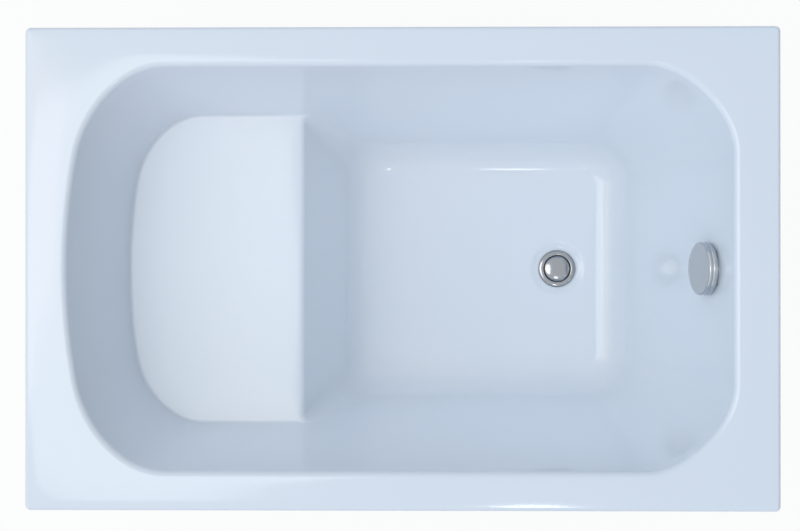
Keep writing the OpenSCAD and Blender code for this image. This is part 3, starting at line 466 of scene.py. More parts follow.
def ring(right, left):
    """The whole ring from the back halves of its two ends, each mirrored over the middle plane."""
    flip = np.array([1.0, -1.0, 1.0])
    return np.concatenate([right * flip, right[-2::-1], left, left[-2::-1] * flip])


def drain_half(xj, xd, ys, c, f, z):
    """From the joint along the side, round the corner of reach c, to the middle of the drain end."""
    return np.concatenate([
        [[xj, ys, z]], line([xj, ys, z], [xd - c, ys, z], N_SIDE),
        bend([xd - c, ys, z], [1, 0, 0], [xd, ys - c, z], [0, -1, 0], f * c, N_CORNER),
        line([xd, ys - c, z], [xd, 0, z], N_END)])


def seat_half(xj, xk, xs, ys, d, c, f, bow, zw, z):
    """From the joint by a quarter wave to the side's line, drawn in by d, round the corner of reach c, and
    along the parabola of the bowed seat end to the middle. The height goes from zw at the joint to z."""
    yb = ys - d - c
    xb = -xs + bow * yb * yb / 2
    v = np.array([-bow * yb, -1.0, 0.0])
    a = 90.0 * np.arange(1, N_JOINT + 1) / N_JOINT
    y = yb * (1 - np.arange(1, N_BOW + 1) / N_BOW)
    return np.concatenate([
        np.stack([xj - (xj - xk) * sin(a), ys - d * (1 - cos(a)), zw + (z - zw) * sin(a)], 1),
        line([xk, ys - d, z], [xb + c, ys - d, z], N_SIDE),
        bend([xb + c, ys - d, z], [-1, 0, 0], [xb, yb, z], v / np.linalg.norm(v), f * c, N_CORNER),
        np.stack([-xs + bow * y * y / 2, y, 0 * y + z], 1)])


def riser_half(xq, ys, r, s, zw, z):
    """From the joint round the riser's corner of radius r, then along the riser, s behind its plane."""
    a = 90.0 * np.arange(1, N_JOINT + 1) / N_JOINT
    return np.concatenate([
        np.stack([xq + r - (r + s) * sin(a), ys - r * (1 - cos(a)), zw + (z - zw) * sin(a)], 1),
        line([xq - s, ys - r, z], [xq - s, 0, z], N_LEFT - N_JOINT)])


def rim_ring(g, z, t):
    """A ring round the rim's outer rectangle, drawn out by g, with its corners rounded."""
    x, y, c = TUB_L / 2 + g, TUB_W / 2 + g, RIM_CORNER + g
    return ring(drain_half(joint_x(t), x, y, c, QUARTER, z),
                seat_half(joint_x(t), seat_line(t), x, y, 0, c, QUARTER, 0, z, z))


def lip_ring(a, t):
    """A ring of the lip at turn a: its edge follows a circle from the rim's plane to the wall's lean."""
    k = (LIP - t) * sin(a)
    g = tangent(LIP, SIDE) - LIP * sin(a)
    z = TUB_H - LIP + (LIP - t) * cos(a)
    gs, gd, ge = (WELL_SIDE + tangent(LIP, SIDE) - k, WELL_DRAIN + tangent(LIP, DRAIN) - k,
                  WELL_SEAT + tangent(LIP, SEAT) - k)
    return ring(drain_half(joint_x(t), gd, gs, DRAIN_CORNER + DRAIN_SHRINK * g + t * sin(a), DRAIN_FULL, z),
                seat_half(joint_x(t), seat_line(t), ge, gs, 0, SEAT_CORNER + SEAT_SHRINK * g + t * sin(a),
                          SEAT_FULL, BOW, z, z))


def seat_ring(a, zw, t):
    """A ring of the fillet round the seat at turn a; zw is its height on the foot well's wall."""
    r = SEAT_COVE + t
    h = r * (1 - cos(a))
    z = SEAT_Z - t + h
    d = cove(h, r, SIDE)
    g = -(TUB_H - z) * tan(SIDE)
    return ring(
        drain_half(joint_x(t), wall(WELL_DRAIN, DRAIN, zw, t), wall(WELL_SIDE, SIDE, zw, t),
                   DRAIN_CORNER + DRAIN_SHRINK * g + t, DRAIN_FULL, zw),
        seat_half(joint_x(t), seat_line(t), wall(WELL_SEAT, SEAT, z, t) - cove(h, r, SEAT),
                  wall(WELL_SIDE, SIDE, z, t), d, SEAT_CORNER + SEAT_SHRINK * g + t - d, SEAT_FULL, BOW,
                  zw, z))


def riser_ring(zw, z, s, t):
    """A ring that passes the riser, with the floor's fillet drawn in by a circle of the cove's radius."""
    h, r = zw - FLOOR_Z + t, FLOOR_COVE + t
    ds, dr = cove(h, r, SIDE), cove(h, r, RISER)
    g = -(TUB_H - zw) * tan(SIDE) - ds
    q = riser_fillet(z, t) - RISER_SHRINK * ds
    xq, ys = riser(z, t) + dr, wall(WELL_SIDE, SIDE, zw, t) - ds
    return ring(
        drain_half(xq + q, wall(WELL_DRAIN, DRAIN, zw, t) - cove(h, r, DRAIN), ys,
                   DRAIN_CORNER + DRAIN_SHRINK * g + t, DRAIN_FULL, zw),
        riser_half(xq, ys, q, s, zw, z))


def front_ring(a, t):
    """A ring of the seat's front rounding at turn a."""
    r = SEAT_EDGE - t
    z = SEAT_Z - SEAT_EDGE + r * cos(a)
    x = -FRONT - tangent(SEAT_EDGE, RISER) + r * sin(a)
    return riser_ring(z - DROP * cos(a), z, riser(z, t) - x, t)


def round_waste(base, r, z):
    """The floor's ring drawn to a circle of radius r round the waste."""
    u = base[:, :2] - [WASTE_X, 0]
    u = u / np.linalg.norm(u, axis=1)[:, None]
    return np.column_stack([WASTE_X + r * u[:, 0], r * u[:, 1], np.full(len(u), float(z))])


def between(a, b, n):
    """n rings that step evenly from ring a, kept, to ring b, left out."""
    return [a + (b - a) * k / n for k in range(n)]


def well_rings(t):
    """The rings of one face of the well from the lip down to the waste hole: lip, end and side walls, seat,
    the seat's front, riser, floor's cove, floor, and the waste's dish, which sinks by a smooth step."""
    lip = [lip_ring(a, t) for a in np.linspace(0, 90 - DRAIN, 11)]
    seat = [seat_ring(a, SEAT_Z - t + (SEAT_COVE + t) * (1 - cos(a)) + DROP * cos(a), t)
            for a in np.linspace(90 - SIDE, 0, 9)]
    front = [front_ring(a, t) for a in np.linspace(0, 90 - RISER, 8)]
    lift = [FLOOR_Z - t + (FLOOR_COVE + t) * (1 - cos(a)) for a in np.linspace(90 - SIDE, 0, 16)]
    floor = [riser_ring(z, z, 0.0, t) for z in lift]
    dish = [round_waste(floor[-1], r, FLOOR_Z - t - DISH * k * k * (3 - 2 * k))
            for k in np.linspace(0, 1, 7) for r in [DISH_D / 2 + (DISH_LOW - DISH_D / 2) * k]]
    return (lip[:-1] + between(lip[-1], seat[0], 10) + seat[:-1] + between(seat[-1], front[0], 8)
            + front[:-1] + between(front[-1], floor[0], 8) + floor[:-1] + between(floor[-1], dish[0], 8)
            + dish + [round_waste(floor[-1], WASTE_HOLE / 2, FLOOR_Z - DISH - t)])


def rim_rings(t, skirt):
    """The skirt, the rim's rounded edge and the flat rim as far as the lip."""
    low, top = rim_ring(-t, TUB_H - SKIRT_H, t), rim_ring(-t, TUB_H - RIM_EDGE, t)
    r = RIM_EDGE - t
    edge = [rim_ring(r * cos(a) - RIM_EDGE, TUB_H - RIM_EDGE + r * sin(a), t) for a in np.linspace(0, 90, 9)]
    deck = between(edge[-1], lip_ring(0.0, t), 4)
    return (between(low, top, 4) + edge[:-1] if skirt else []) + deck


def sheet(t_top, t_under, skirt):
    """The two faces of the sheet, and the bands that close it at its outer edge and round the waste hole."""
    top = np.array(rim_rings(t_top, skirt) + well_rings(t_top))
    under = np.array(rim_rings(t_under, skirt) + well_rings(t_under))
    rows, columns = top.shape[:2]
    faces = net(rows, columns, False, True)
    edge = np.stack([top[0], under[0]])
    hole = np.stack([top[-1], under[-1]])
    band = net(2, columns, False, True)
    return [(top, faces), (under, faces[:, ::-1]), (edge, band[:, ::-1]), (hole, band)]


KNOB_Z, OVERFLOW_HOLE = TUB_H - 85.0, 54.0
# Play between a pin or thread and its bore, on the radius
FIT = 0.05
# The knob's own axes as columns: its Z points into the bath and up, square to the drain end wall
KNOB_TURN = np.array([[sin(DRAIN), 0, -cos(DRAIN)], [0, 1, 0], [cos(DRAIN), 0, sin(DRAIN)]])
KNOB_PLACE = np.array([wall(WELL_DRAIN, DRAIN, KNOB_Z, 0), 0, KNOB_Z])


def at_knob(part, lift=0.0):
    """A part made round Z, laid on the knob's axis and lifted along it."""
    return placed(part, KNOB_PLACE + KNOB_TURN[:, 2] * lift, KNOB_TURN)


def cut_overflow(obj):
    """Cuts the round overflow hole through a sheet, square to the drain end wall."""
    plug_ends = np.array([[OVERFLOW_HOLE / 2, -2 * SHEET], [OVERFLOW_HOLE / 2, SHEET]])
    cutter = piece("cutter", [at_knob(solid(turned(plug_ends, 128)[0]))], "acrylic", "bath")
    step = obj.modifiers.new("hole", "BOOLEAN")
    step.object = cutter
    step.solver = "EXACT"
    made = bpy.data.meshes.new_from_object(obj.evaluated_get(bpy.context.evaluated_depsgraph_get()))
    obj.modifiers.remove(step)
    obj.data = made
    bpy.data.objects.remove(cutter)


bath_shell = piece("bath_shell", sheet(0.0, ACRYLIC, True), "acrylic", "bath", "acrylic_shell", crease=50)
laminate = piece("laminate", sheet(ACRYLIC, SHEET, False), "glass_fibre", "bath", "glass_fibre_backing",
                 crease=50)
cut_overflow(bath_shell)
cut_overflow(laminate)

# ---- chrome: flange, plug cap and knob ----
DISH_Z = FLOOR_Z - DISH
GASKET_T, FLANGE_T, SEAL_T = 1.5, 3.0, 3.5
FLANGE_Z, SEAT_RING, THROAT_Z = DISH_Z + GASKET_T, DISH_Z - 7.0, DISH_Z - 29.0
THROAT, THROAT_BORE, STEM = 21.0, 17.0, 3.0
AT_WASTE = (WASTE_X, 0.0, 0.0)


def block(low, high):
    """A box with slightly rounded upright edges."""
    (x, y, z), (x2, y2, z2) = low, high
    loop = softened([(x, y), (x2, y), (x2, y2), (x, y2)], 0.4, 3)
    return solid([np.column_stack([loop, np.full(len(loop), h)]) for h in (z, z2)])


def turn_about_z(part, angle):
    """A part turned about Z by an angle in degrees."""
    turn = [[cos(angle), -sin(angle), 0], [sin(angle), cos(angle), 0], [0, 0, 1]]
    return placed(part, turn=turn)


flange_r, cup_r, cup_bore, face = FLANGE_D / 2, WASTE_HOLE / 2 - 0.5, CAP_D / 2 + 1.5, FLANGE_Z + FLANGE_T
flange = turned(softened(
    [(cup_bore, SEAT_RING), (cup_bore, face - 0.6), (cup_bore + 1.2, face), (flange_r - 4, face),
     (flange_r - 1, face - 0.9), (flange_r, FLANGE_Z + 0.7), (flange_r, FLANGE_Z), (cup_r, FLANGE_Z),
     (cup_r, SEAT_RING - 3), (THROAT, SEAT_RING - 3), (THROAT, THROAT_Z), (THROAT_BORE, THROAT_Z),
     (THROAT_BORE, SEAT_RING)],
    [0.6, 0.6, 0.8, 3, 1.2, 0.4, 0.2, 0.2, 0.5, 0.5, 0.5, 0.5, 0.8], 5), 160, True)
guide = turned(softened([(STEM + FIT, SEAT_RING - 12), (STEM + 2.5, SEAT_RING - 12),
                         (STEM + 2.5, SEAT_RING - 4), (STEM + FIT, SEAT_RING - 4)], 0.3), 48, True)
BAR = 1.25
bar = block((STEM + 1.5, -BAR, SEAT_RING - 11), (THROAT_BORE + 0.5, BAR, SEAT_RING - 5))
bars = [turn_about_z(bar, a) for a in (90, 210, 330)]
waste_ring = piece("waste_ring", [placed(p, AT_WASTE) for p in [flange, guide, *bars]], "chrome", "bath",
                   "waste_flange")

cap_z, cap_r, dome = SEAT_RING + SEAL_T, CAP_D / 2, 3.5
arc = np.linspace(0, 90, 20)
cap_profile = np.concatenate([
    softened([(0, cap_z + 4), (STEM + FIT, cap_z + 4), (STEM + FIT, cap_z - 2), (STEM + 3, cap_z - 2),
              (STEM + 3, cap_z), (cap_r - 2, cap_z), (cap_r, cap_z + 2.5), (cap_r, cap_z + 5)],
             0.6, 4, False),
    np.stack([cap_r * cos(arc), cap_z + 6 + dome * sin(arc)], 1)])
plug_dome = piece("plug_dome", [placed(turned(cap_profile, 160), AT_WASTE)], "chrome", "plug", "plug_cap")
# The waste's plating is duller than the knob's. Its darker tone is a painted reflection: it stands in for the
# dark things overhead that the drain mirrors.
dull_chrome_painted_dark_reflection = chrome_finish("dull_chrome_painted_dark_reflection", (0.33, 0.35, 0.38), 0.12)
waste_ring.data.materials[0] = dull_chrome_painted_dark_reflection
plug_dome.data.materials[0] = dull_chrome_painted_dark_reflection

KNOB_D, KNOB_T, KNOB_GAP, SPINDLE = 80.0, 14.0, 5.0, 4.0
knob_r = KNOB_D / 2
knob_profile = softened(
    [(0, 8), (SPINDLE + FIT, 8), (SPINDLE + FIT, 0), (knob_r, 0), (knob_r, KNOB_T * 0.4),
     (knob_r - 1.2, KNOB_T * 0.4 + 0.8), (knob_r - 1.2, KNOB_T * 0.6 - 0.8), (knob_r, KNOB_T * 0.6),
     (knob_r, KNOB_T - 0.5), (knob_r - 4, KNOB_T - 0.15), (0, KNOB_T)],
    [0, 0.3, 0.3, 1.8, 0.6, 0.6, 0.6, 0.6, 2.6, 2.0, 0], 7, False)
piece("turn_knob", [at_knob(turned(knob_profile, 200), KNOB_GAP)], "chrome", "knob", "overflow_knob")

# ---- frame of square tube, with weld beads ----
TUBE, TUBE_WALL, TUBE_CORNER = 25.0, 1.5, 3.0
# A bead's half height and half width, and its ripples round the tube
BEAD_H, BEAD_W, RIPPLE, RIPPLES = 0.75, 1.9, 0.22, 40


def square_round(offset, height, flats=0):
    """Arrays of offsets and heights carried round a tube's rounded square, each column one step round it.
    The path turns a quarter about each corner's centre, with flats more steps between the corners."""
    a = np.linspace(0, 90, 7)
    reach = TUBE / 2 - TUBE_CORNER
    loop = []
    for k in range(4):
        corner = reach * np.sqrt(2) * np.array([cos(90 * k + 45), sin(90 * k + 45)])
        out = np.stack([cos(a + 90 * k), sin(a + 90 * k)], 1)
        run = np.linspace(0, -2 * reach, flats + 2)[1:-1, None] * [[cos(90 * k), sin(90 * k)]]
        loop.append(np.column_stack([corner + 0 * out, out]))
        loop.append(np.column_stack([corner + run, np.tile(out[-1], (flats, 1))]))
    loop = np.concatenate(loop)
    shape = (len(offset), len(loop))
    offset, height = np.broadcast_to(offset, shape), np.broadcast_to(height, shape)
    flat = loop[None, :, :2] + (TUBE_CORNER + offset)[..., None] * loop[None, :, 2:]
    return np.concatenate([flat, height[..., None]], axis=-1)


def tube_part(length):
    """A square tube along Z: its wall's profile carried round the rounded square, with both ends open."""
    wall_line = softened([(0, 0), (0, length), (-TUBE_WALL, length), (-TUBE_WALL, 0)], 0.3, 2)
    grid = square_round(wall_line[:, :1], wall_line[:, 1:])
    return grid, net(*grid.shape[:2], True, True)


def bead_part(height):
    """A weld bead: a low rounded ridge round the tube, whose size ripples from drop to drop."""
    flats = 24
    drops = 4 * (7 + flats)
    ripple = 1 + RIPPLE * cos(360 * RIPPLES * np.arange(drops) / drops)[None, :]
    a = np.linspace(0, 360, 12, endpoint=False)[:, None]
    grid = square_round(BEAD_H * ripple * sin(a) - 0.1, height + BEAD_W * ripple * cos(a), flats)
    return grid, net(*grid.shape[:2], True, True)


def tube(node, welds=""):
    """The tube of a CAD node along its longest side, with beads at its low or high end."""
    low, high = (np.array(corner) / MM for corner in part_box(node))
    axis = int(np.argmax(high - low))
    length = high[axis] - low[axis]
    middle = (low + high) / 2
    middle[axis] = low[axis]
    parts = [tube_part(length)] + [bead_part(length if end == "h" else 0.0) for end in welds]
    piece(f"tube_{node}", [placed(along_axis(p, axis), middle) for p in parts], "frame_steel", "bath", node)


for node, welds in {
        "top_rail_front": "", "top_rail_back": "", "top_rail_seat_end": "lh", "top_rail_drain_end": "lh",
        "base_rail_front": "lh", "base_rail_back": "lh", "base_rail_seat_end": "lh",
        "base_rail_drain_end": "lh", "floor_rail_front": "lh", "floor_rail_back": "lh", "seat_rail": "",
        "seat_post_front": "lh", "seat_post_back": "lh", "corner_post_1": "h", "corner_post_2": "h",
        "corner_post_3": "h", "corner_post_4": "h"}.items():
    tube(node, welds)

# ---- levelling feet and screws ----
STUD_R, STUD_L, THREAD_PITCH, THREAD_DEPTH = 6.0, 118.0, 1.75, 0.95
PAD_D, PAD_H, SOCKET, HEX, COLLAR_H, CLEAR = 44.0, 16.0, 6.0, 19.0, 8.0, 0.1
POST_FOOT, PLUG_FLANGE, NUT_H = 100.0, 3.0, 10.0


def threaded(low, high, sides=36, rows=8):
    """A screw thread: the radius follows a cosine helix of the thread's pitch, with both ends chamfered."""
    z = np.arange(low, high, THREAD_PITCH / rows)
    z = np.append(z, high)[:, None]
    a = np.linspace(0, 360, sides, endpoint=False)[None, :]
    radius = STUD_R - THREAD_DEPTH * (1 - cos(360 * z / THREAD_PITCH - a)) / 2
    radius = np.minimum(radius, STUD_R - 1.2 + np.minimum(z - low, high - z))
    return solid(np.stack([radius * cos(a), radius * sin(a), z + 0 * a], axis=-1))


def hexagon(low, high, bore=0.0):
    """A nut's six-sided body: the lesser of the hexagon's radius and that of a 30-degree chamfer cone."""
    a = np.arange(0, 360, 3.0)[None, :]
    lift = np.array([0, 0.25, 0.5, 0.8, 1.2, 1.7, 2.4])
    z = np.concatenate([low + lift, high - lift[::-1]])[:, None]
    side = HEX / 2 / cos(a % 60 - 30)
    radius = np.minimum(side, HEX / 2 - 0.2 + 1.73 * np.minimum(z - low, high - z))
    rings = np.stack([radius * cos(a), radius * sin(a), z + 0 * a], axis=-1)
    if not bore:
        return solid(rings)
    inner = np.array([[bore + 0.8, high], [bore, high - 0.8], [bore, low + 0.8], [bore + 0.8, low]])
    rings = np.concatenate([rings, turned(inner, a.size)[0]])
    return rings, net(*rings.shape[:2], True, True)


posts = []
for i in (1, 2, 3, 4):
    low, high = (np.array(corner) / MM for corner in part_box(f"corner_post_{i}"))
    post = np.append((low + high)[:2] / 2, 0.0)
    posts.append(post)
    pad_r = PAD_D / 2
    pad = turned(softened(
        [(0, 0.6), (pad_r * 0.5, 0.6), (pad_r * 0.55, 0), (pad_r, 0), (pad_r, PAD_H * 0.36),
         (pad_r - 2, PAD_H * 0.46), (STUD_R + 6, PAD_H - 1.5), (STUD_R + 5, PAD_H), (STUD_R + FIT, PAD_H),
         (STUD_R + FIT, SOCKET), (0, SOCKET)],
        [0, 0.5, 0.5, 1.2, 1.5, 1.5, 2, 1, 0.4, 0.3, 0], 5, False), 96)
    piece(f"pad_{i}", [placed(pad, post)], "foot_rubber", f"foot_{i}", f"foot_pad_{i}")
    collar = hexagon(PAD_H + CLEAR, PAD_H + CLEAR + COLLAR_H)
    stud = [threaded(SOCKET + CLEAR, SOCKET + CLEAR + STUD_L), collar]
    piece(f"threaded_stud_{i}", [placed(p, post) for p in stud], "zinc_steel", f"stud_{i}", f"foot_stud_{i}")
nut_top = POST_FOOT - PLUG_FLANGE
piece("foot_nuts", [placed(hexagon(nut_top - NUT_H, nut_top, STUD_R + FIT), post) for post in posts],
      "zinc_steel", "bath", "lock_nuts")

SCREW_R, HEAD_R, HEAD_H, SCREW_BITE = 2.5, 4.5, 3.0, 10.0
DRIVE_R, DRIVE_DEEP = 1.7, 1.6
SCREW_STEP, RIM_END_Y, FLOOR_RAIL_Y, FRAME_GAP = 150, 180, 110, 5
FRAME_X = TUB_L / 2 - ACRYLIC - FRAME_GAP - TUBE / 2
FRAME_Y = TUB_W / 2 - ACRYLIC - FRAME_GAP - TUBE / 2
screw = turned(softened(
    [(0, DRIVE_DEEP - HEAD_H), (DRIVE_R, DRIVE_DEEP - HEAD_H), (DRIVE_R, -HEAD_H), (HEAD_R, -HEAD_H),
     (HEAD_R, 0), (SCREW_R, 0), (SCREW_R, TUBE + SCREW_BITE - 3), (0, TUBE + SCREW_BITE)],
    [0, 0.2, 0.3, 1.6, 0.2, 0.2, 0.3, 0], 4, False), 32)
top_rail_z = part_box("top_rail_front")[0][2] / MM
rim_places = ([(k * SCREW_STEP, y) for k in (-3, -1, 1, 3) for y in (-FRAME_Y, FRAME_Y)]
              + [(x, y) for x in (-FRAME_X, FRAME_X) for y in (-RIM_END_Y, RIM_END_Y)])
piece("screws_rim", [placed(screw, (*p, top_rail_z)) for p in rim_places], "zinc_steel", "bath", "rim_screws")

board_low, board_high = (np.array(corner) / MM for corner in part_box("floor_board"))
board_mid = (board_low[0] + board_high[0]) / 2
rail_low, rail_high = (np.array(corner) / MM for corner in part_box("seat_rail"))
rail_mid = (rail_low[0] + rail_high[0]) / 2
board_places = ([(board_mid + k * SCREW_STEP, y, board_low[2] - TUBE)
                 for k in (-1, 0, 1) for y in (-FLOOR_RAIL_Y, FLOOR_RAIL_Y)]
                + [(rail_mid, y, rail_low[2]) for y in (-SCREW_STEP, SCREW_STEP)])
piece("screws_board", [placed(screw, p) for p in board_places], "zinc_steel", "bath", "board_screws")

# ---- trap and hose nuts ----
CUP_R, CUP_Z, CUP_TOP, CUP_WALL = 44.0, DISH_Z - 162.8, DISH_Z - 95.0, 3.0
COLLAR_R, COLLAR_TOP, DIP_BORE, NECK_BORE = 35.0, DISH_Z - 80.0, 21.5, 27.3
OUTLET_Z, OUTLET_R, OUTLET_NECK, OUTLET_L = DISH_Z - 119.0, 20.0, 10.0, 50.0
CAP_OUT, GRIP_OUT = 4.0, 6.0
ribbed = {"ribs": 36, "depth": 0.9}
grip_r, grip_seat = COLLAR_R + GRIP_OUT, DISH_Z - 73.7
grip = softened(
    [(grip_r, CUP_TOP + 2), (grip_r, grip_seat + 4), (NECK_BORE, grip_seat + 4), (NECK_BORE, grip_seat),
     (COLLAR_R + FIT, grip_seat), (COLLAR_R + FIT, CUP_TOP + 2)], [1, 1.5, 0.6, 0.4, 0.4, 0.5], 4)
piece("nut_trap", [placed(turned(grip, 288, True, beyond=grip_r - 2, **ribbed), AT_WASTE)], "white_plastic",
      "bath", "trap_nut")
cap_out = CUP_R + CAP_OUT
cap = softened([(0, CUP_Z - 6), (cap_out, CUP_Z - 6), (cap_out, CUP_Z + 16), (CUP_R + FIT, CUP_Z + 16),
                (CUP_R + FIT, CUP_Z - 0.2), (0, CUP_Z - 0.2)], [0, 2, 1, 0.4, 0.4, 0], 4, False)
piece("cap_trap", [placed(turned(cap, 288, beyond=cap_out - 2, **ribbed), AT_WASTE)], "white_plastic",
      "bath", "trap_cap")
cup = turned(softened(
    [(CUP_R, CUP_Z), (CUP_R, CUP_TOP), (COLLAR_R, CUP_TOP), (COLLAR_R, COLLAR_TOP), (DIP_BORE, COLLAR_TOP),
     (DIP_BORE, CUP_TOP - CUP_WALL), (CUP_R - CUP_WALL, CUP_TOP - CUP_WALL), (CUP_R - CUP_WALL, CUP_Z)],
    [0.5, 4, 1, 0.6, 0.6, 0.6, 3, 0.5], 5), 128, True)
neck_end = CUP_R + OUTLET_NECK
pipe_end, pipe_bore = neck_end + OUTLET_L, OUTLET_R - CUP_WALL
pipe = turned(softened(
    [(OUTLET_R - 0.5, CUP_R - 2), (OUTLET_R - 0.5, neck_end), (OUTLET_R, neck_end), (OUTLET_R, pipe_end),
     (pipe_bore, pipe_end), (pipe_bore, CUP_R - 2)],
    [0.2, 0.2, 0.3, 0.8, 0.5, 0.2], 4), 96, True)
piece("cup_trap", [placed(cup, AT_WASTE), placed(along_axis(pipe, 1), (WASTE_X, 0, OUTLET_Z))],
      "white_plastic", "bath", "trap_cup")
SPIGOT_Z, PORT_Z, PORT, PORT_END, NUT_HALF, NUT_WALL = KNOB_Z - 55.0, DISH_Z - 49.0, 13.5, 53.0, 12.0, 4.0
HOSE_X = KNOB_PLACE[0] + 26.8
nut_r = PORT + NUT_WALL
hose_nut = turned(softened(
    [(nut_r, -NUT_HALF), (nut_r, NUT_HALF), (PORT + FIT, NUT_HALF), (PORT + FIT, -NUT_HALF)],
    [1.2, 1.2, 0.4, 0.4], 4), 192, True, beyond=nut_r - 1, ribs=24, depth=0.8)
TOP_NUT, LOW_NUT = (HOSE_X, 0, SPIGOT_Z), (WASTE_X + PORT_END, 0, PORT_Z)
piece("nuts_hose", [placed(hose_nut, TOP_NUT), placed(along_axis(hose_nut, 0), LOW_NUT)], "white_plastic",
      "bath", "hose_nuts")

# ---- overflow hose and pull cable ----
# Bends from the overflow down to the waste, as places in X and Z from their lower ends
HOSE_BENDS = [(166, 372), (166, 352), (166, 322), (166, 292), (166, 262), (166, 232), (166, 202), (166, 172),
              (164, 142), (160, 113), (150, 84), (135, 58), (115, 34), (90, 16), (62, 4), (32, 0),
              (10, 0), (0, 0)]
CABLE_BENDS = [(180, 372), (180, 348), (180, 318), (180, 278), (180, 238), (180, 198), (179, 158), (176, 124),
               (168, 92), (154, 62), (134, 36), (108, 16), (78, 5), (46, 1), (20, 0), (0, 0)]
# How far the cable swings to one side of its lower end, at each of its places
CABLE_SWINGS = [5, 5, 6, 7, 7, 7, 7, 7, 7, 7, 7, 7, 5, 2, 0, 0]


def route(bends, swings, top, low):
    """Bends stretched to the true places of the two ends."""
    b = np.array(bends, float)
    b *= [(top[0] - low[0]) / b[0, 0], (top[2] - low[2]) / b[0, 1]]
    return np.stack([low[0] + b[:, 0], low[1] + np.array(swings, float), low[2] + b[:, 1]], 1)


HOSE_ROUTE = route(HOSE_BENDS, [0] * len(HOSE_BENDS), TOP_NUT, LOW_NUT)
CABLE_ROUTE = route(CABLE_BENDS, CABLE_SWINGS, (HOSE_X, 22, KNOB_Z - 41), (WASTE_X + 39, 17, DISH_Z - 35))


def along(route, u):
    """Points on the smooth curve through a route, u steps from its start: cubics with the chords' slopes."""
    p = np.array(route, float)
    slope = np.gradient(p, axis=0)
    i = np.clip(np.floor(u).astype(int), 0, len(p) - 2)
    k = (u - i)[:, None]
    return ((2 * k ** 3 - 3 * k ** 2 + 1) * p[i] + (k ** 3 - 2 * k ** 2 + k) * slope[i]
            + (3 * k ** 2 - 2 * k ** 3) * p[i + 1] + (k ** 3 - k ** 2) * slope[i + 1])


def swept(route, u, radius, sides):
    """Rings of the given radii about the curve, square to it, closed at both ends."""
    way = along(route, u + 0.01) - along(route, u - 0.01)
    way = way / np.linalg.norm(way, axis=1)[:, None]
    side = np.cross(way, [0, 1, 0])
    side = side / np.linalg.norm(side, axis=1)[:, None]
    up = np.cross(side, way)
    a = np.linspace(0, 360, sides, endpoint=False)[None, :, None]
    rings = along(route, u)[:, None] + radius[:, None, None] * (cos(a) * side[:, None] + sin(a) * up[:, None])
    return solid(rings)


# The plain cuffs at the hose's ends and the run-out of its ribs are counted in steps of its route
HOSE_R, RIBS, RIB_DEPTH, CUFF, RUN_OUT = 16.0, 84, 2.0, 1.6, 0.06
steps = len(HOSE_ROUTE) - 1
u = np.linspace(0, steps, RIBS * 12)
on_ribs = np.clip(np.minimum(u - CUFF, steps - CUFF - u) / RUN_OUT, 0, 1)
turns = (u - CUFF) / (steps - 2 * CUFF) * RIBS
ribs = HOSE_R - RIB_DEPTH * (0.5 - 0.5 * cos(360 * turns)) ** 1.6
piece("ribbed_hose", [swept(HOSE_ROUTE, u, PORT + (ribs - PORT) * on_ribs, 40)], "hose_plastic", "bath",
      "overflow_hose", crease=80)

# The cable swells into a sleeve at each end, so many steps of its route from its middle
CABLE_R, SLEEVE_T, SLEEVE_FROM, SWELL = 2.6, 0.4, 6.2, 0.05
steps = len(CABLE_ROUTE) - 1
u = np.linspace(0, steps, 400)
sleeve = np.clip((np.abs(u - steps / 2) - SLEEVE_FROM) / SWELL, 0, 1)
piece("sheathed_cable", [swept(CABLE_ROUTE, u, CABLE_R + SLEEVE_T * sleeve, 24)], "cable_sheath", "bath",
      "pull_cable", crease=60)

# ---- CAD nodes that stay get the finish of their slot ----
for part in frame["record"]["subparts"]:
    for holder in frame["nodes"][part["node"]].material_slots:
        holder.link = "OBJECT"
        holder.material = FINISHES[part["material_slot"]]

# ---- room: floor, lamps, and the white around ----
FAR, WHITE_SHARE = 30.0, 0.93
floor = bpy.data.objects.new("floor", bpy.data.meshes.new("floor"))
floor.data.from_pydata([(-FAR, -FAR, 0), (FAR, -FAR, 0), (FAR, FAR, 0), (-FAR, FAR, 0)], [], [(0, 1, 2, 3)])
scene.collection.objects.link(floor)


def looked_at(tree):
    """1 where the camera, a reflection or a clear piece looks, and 0 where light bounces."""
    rays = tree.nodes.new("ShaderNodeLightPath").outputs
    seen = rays["Is Camera Ray"]
    for kind in ("Is Glossy Ray", "Is Transmission Ray"):
        seen = add_node(tree, "ShaderNodeMath", "Value", {0: seen, 1: rays[kind]}, operation="MAXIMUM")
    return seen


def floor_finish():
    """Pale floor. Where it is looked at it is mostly plain white, and it keeps the bath's shadow."""
    mat = bpy.data.materials.new("pale_floor")
    mat.use_nodes = True
    tree = mat.node_tree
    tree.nodes.remove(tree.nodes["Principled BSDF"])
    white = add_node(tree, "ShaderNodeEmission", "Emission", {"Strength": 1.0})
    matte = add_node(tree, "ShaderNodeBsdfDiffuse", "BSDF", {"Color": (0.86, 0.87, 0.88, 1.0)})
    share = add_node(tree, "ShaderNodeMath", "Value", {0: looked_at(tree), 1: WHITE_SHARE},
                     operation="MULTIPLY")
    mix = add_node(tree, "ShaderNodeMixShader", "Shader", {0: share, 1: matte, 2: white})
    tree.links.new(mix, tree.nodes["Material Output"].inputs["Surface"])
    return mat


floor.data.materials.append(floor_finish())


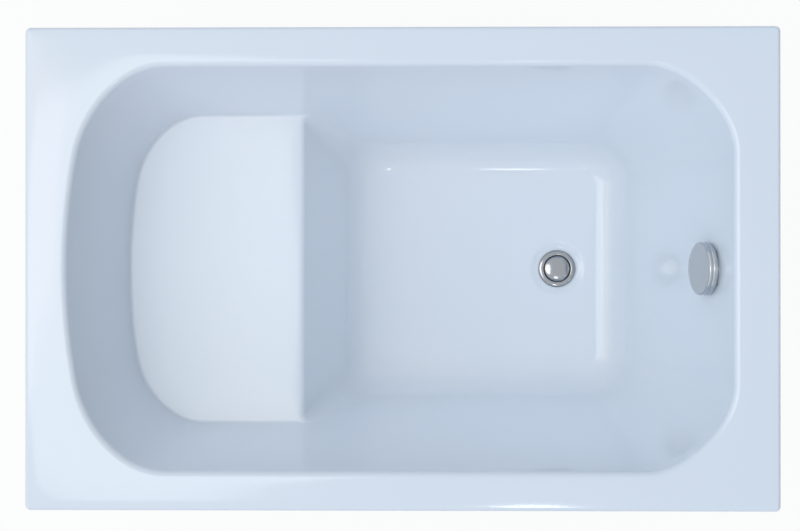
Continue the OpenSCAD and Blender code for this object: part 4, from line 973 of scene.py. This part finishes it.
def lamp(name, place, aim, size, power, colour=(1, 1, 1)):
    """A soft round lamp of the given size in metres and power in watts, aimed at a point."""
    light = bpy.data.lights.new(name, "AREA")
    light.shape = "DISK"
    light.size = size
    light.energy = power
    light.color = colour
    obj = bpy.data.objects.new(name, light)
    scene.collection.objects.link(obj)
    obj.location = place
    way = Vector(aim) - Vector(place)
    obj.rotation_euler = way.to_track_quat("-Z", "Y").to_euler()


lamp("key_lamp", (-1.05, -0.1, 4.2), (0.0, 0.0, 0.5), 1.8, 18)
lamp("front_lamp", (0.48, -1.3, 4.1), (0.25, 0.15, 0.2), 0.3, 2.8)
lamp("side_lamp", (-2.0, 0.3, 3.4), (0.0, 0.0, 0.5), 1.8, 12, (1.0, 0.75, 0.4))

# Soft daylight in broad lobes, each a way and a colour
SKY = [((-1.0, 0.0, 0.9), (0.54, 0.78, 1.02)), ((0.0, -1.0, 0.86), (1.24, 1.33, 1.52)),
       ((0.0, 1.0, 0.86), (0.83, 0.93, 1.09)), ((1.0, 0.0, 0.9), (0.10, 0.13, 0.14))]
LOBE_POWER = 5.0


def sky_finish(world):
    """Each lobe's colour times a power of the cosine between it and the ray, summed. Where the sky is looked
    at, it is plain white instead."""
    world.use_nodes = True
    air = world.node_tree

    def vector(output, inputs, operation):
        """One step of vector arithmetic."""
        return add_node(air, "ShaderNodeVectorMath", output, inputs, operation=operation)

    way = add_node(air, "ShaderNodeTexCoord", "Generated")
    glow = None
    for toward, colour in SKY:
        near = vector("Value", {0: way, 1: tuple(toward / np.linalg.norm(toward))}, "DOT_PRODUCT")
        near = add_node(air, "ShaderNodeMath", "Value", {0: near, 1: 0.0}, operation="MAXIMUM")
        near = add_node(air, "ShaderNodeMath", "Value", {0: near, 1: LOBE_POWER}, operation="POWER")
        lobe = vector("Vector", {0: colour, "Scale": near}, "SCALE")
        glow = lobe if glow is None else vector("Vector", {0: glow, 1: lobe}, "ADD")
    plain = air.nodes["Background"]
    air.links.new(glow, plain.inputs["Color"])
    white = add_node(air, "ShaderNodeBackground", "Background",
                     {"Color": (1.0, 1.0, 1.0, 1.0), "Strength": 1.0})
    both = add_node(air, "ShaderNodeMixShader", "Shader", {0: looked_at(air), 1: plain.outputs[0], 2: white})
    air.links.new(both, air.nodes["World Output"].inputs["Surface"])


scene.world = bpy.data.worlds.new("room")
sky_finish(scene.world)

scene.view_settings.view_transform = "Standard"
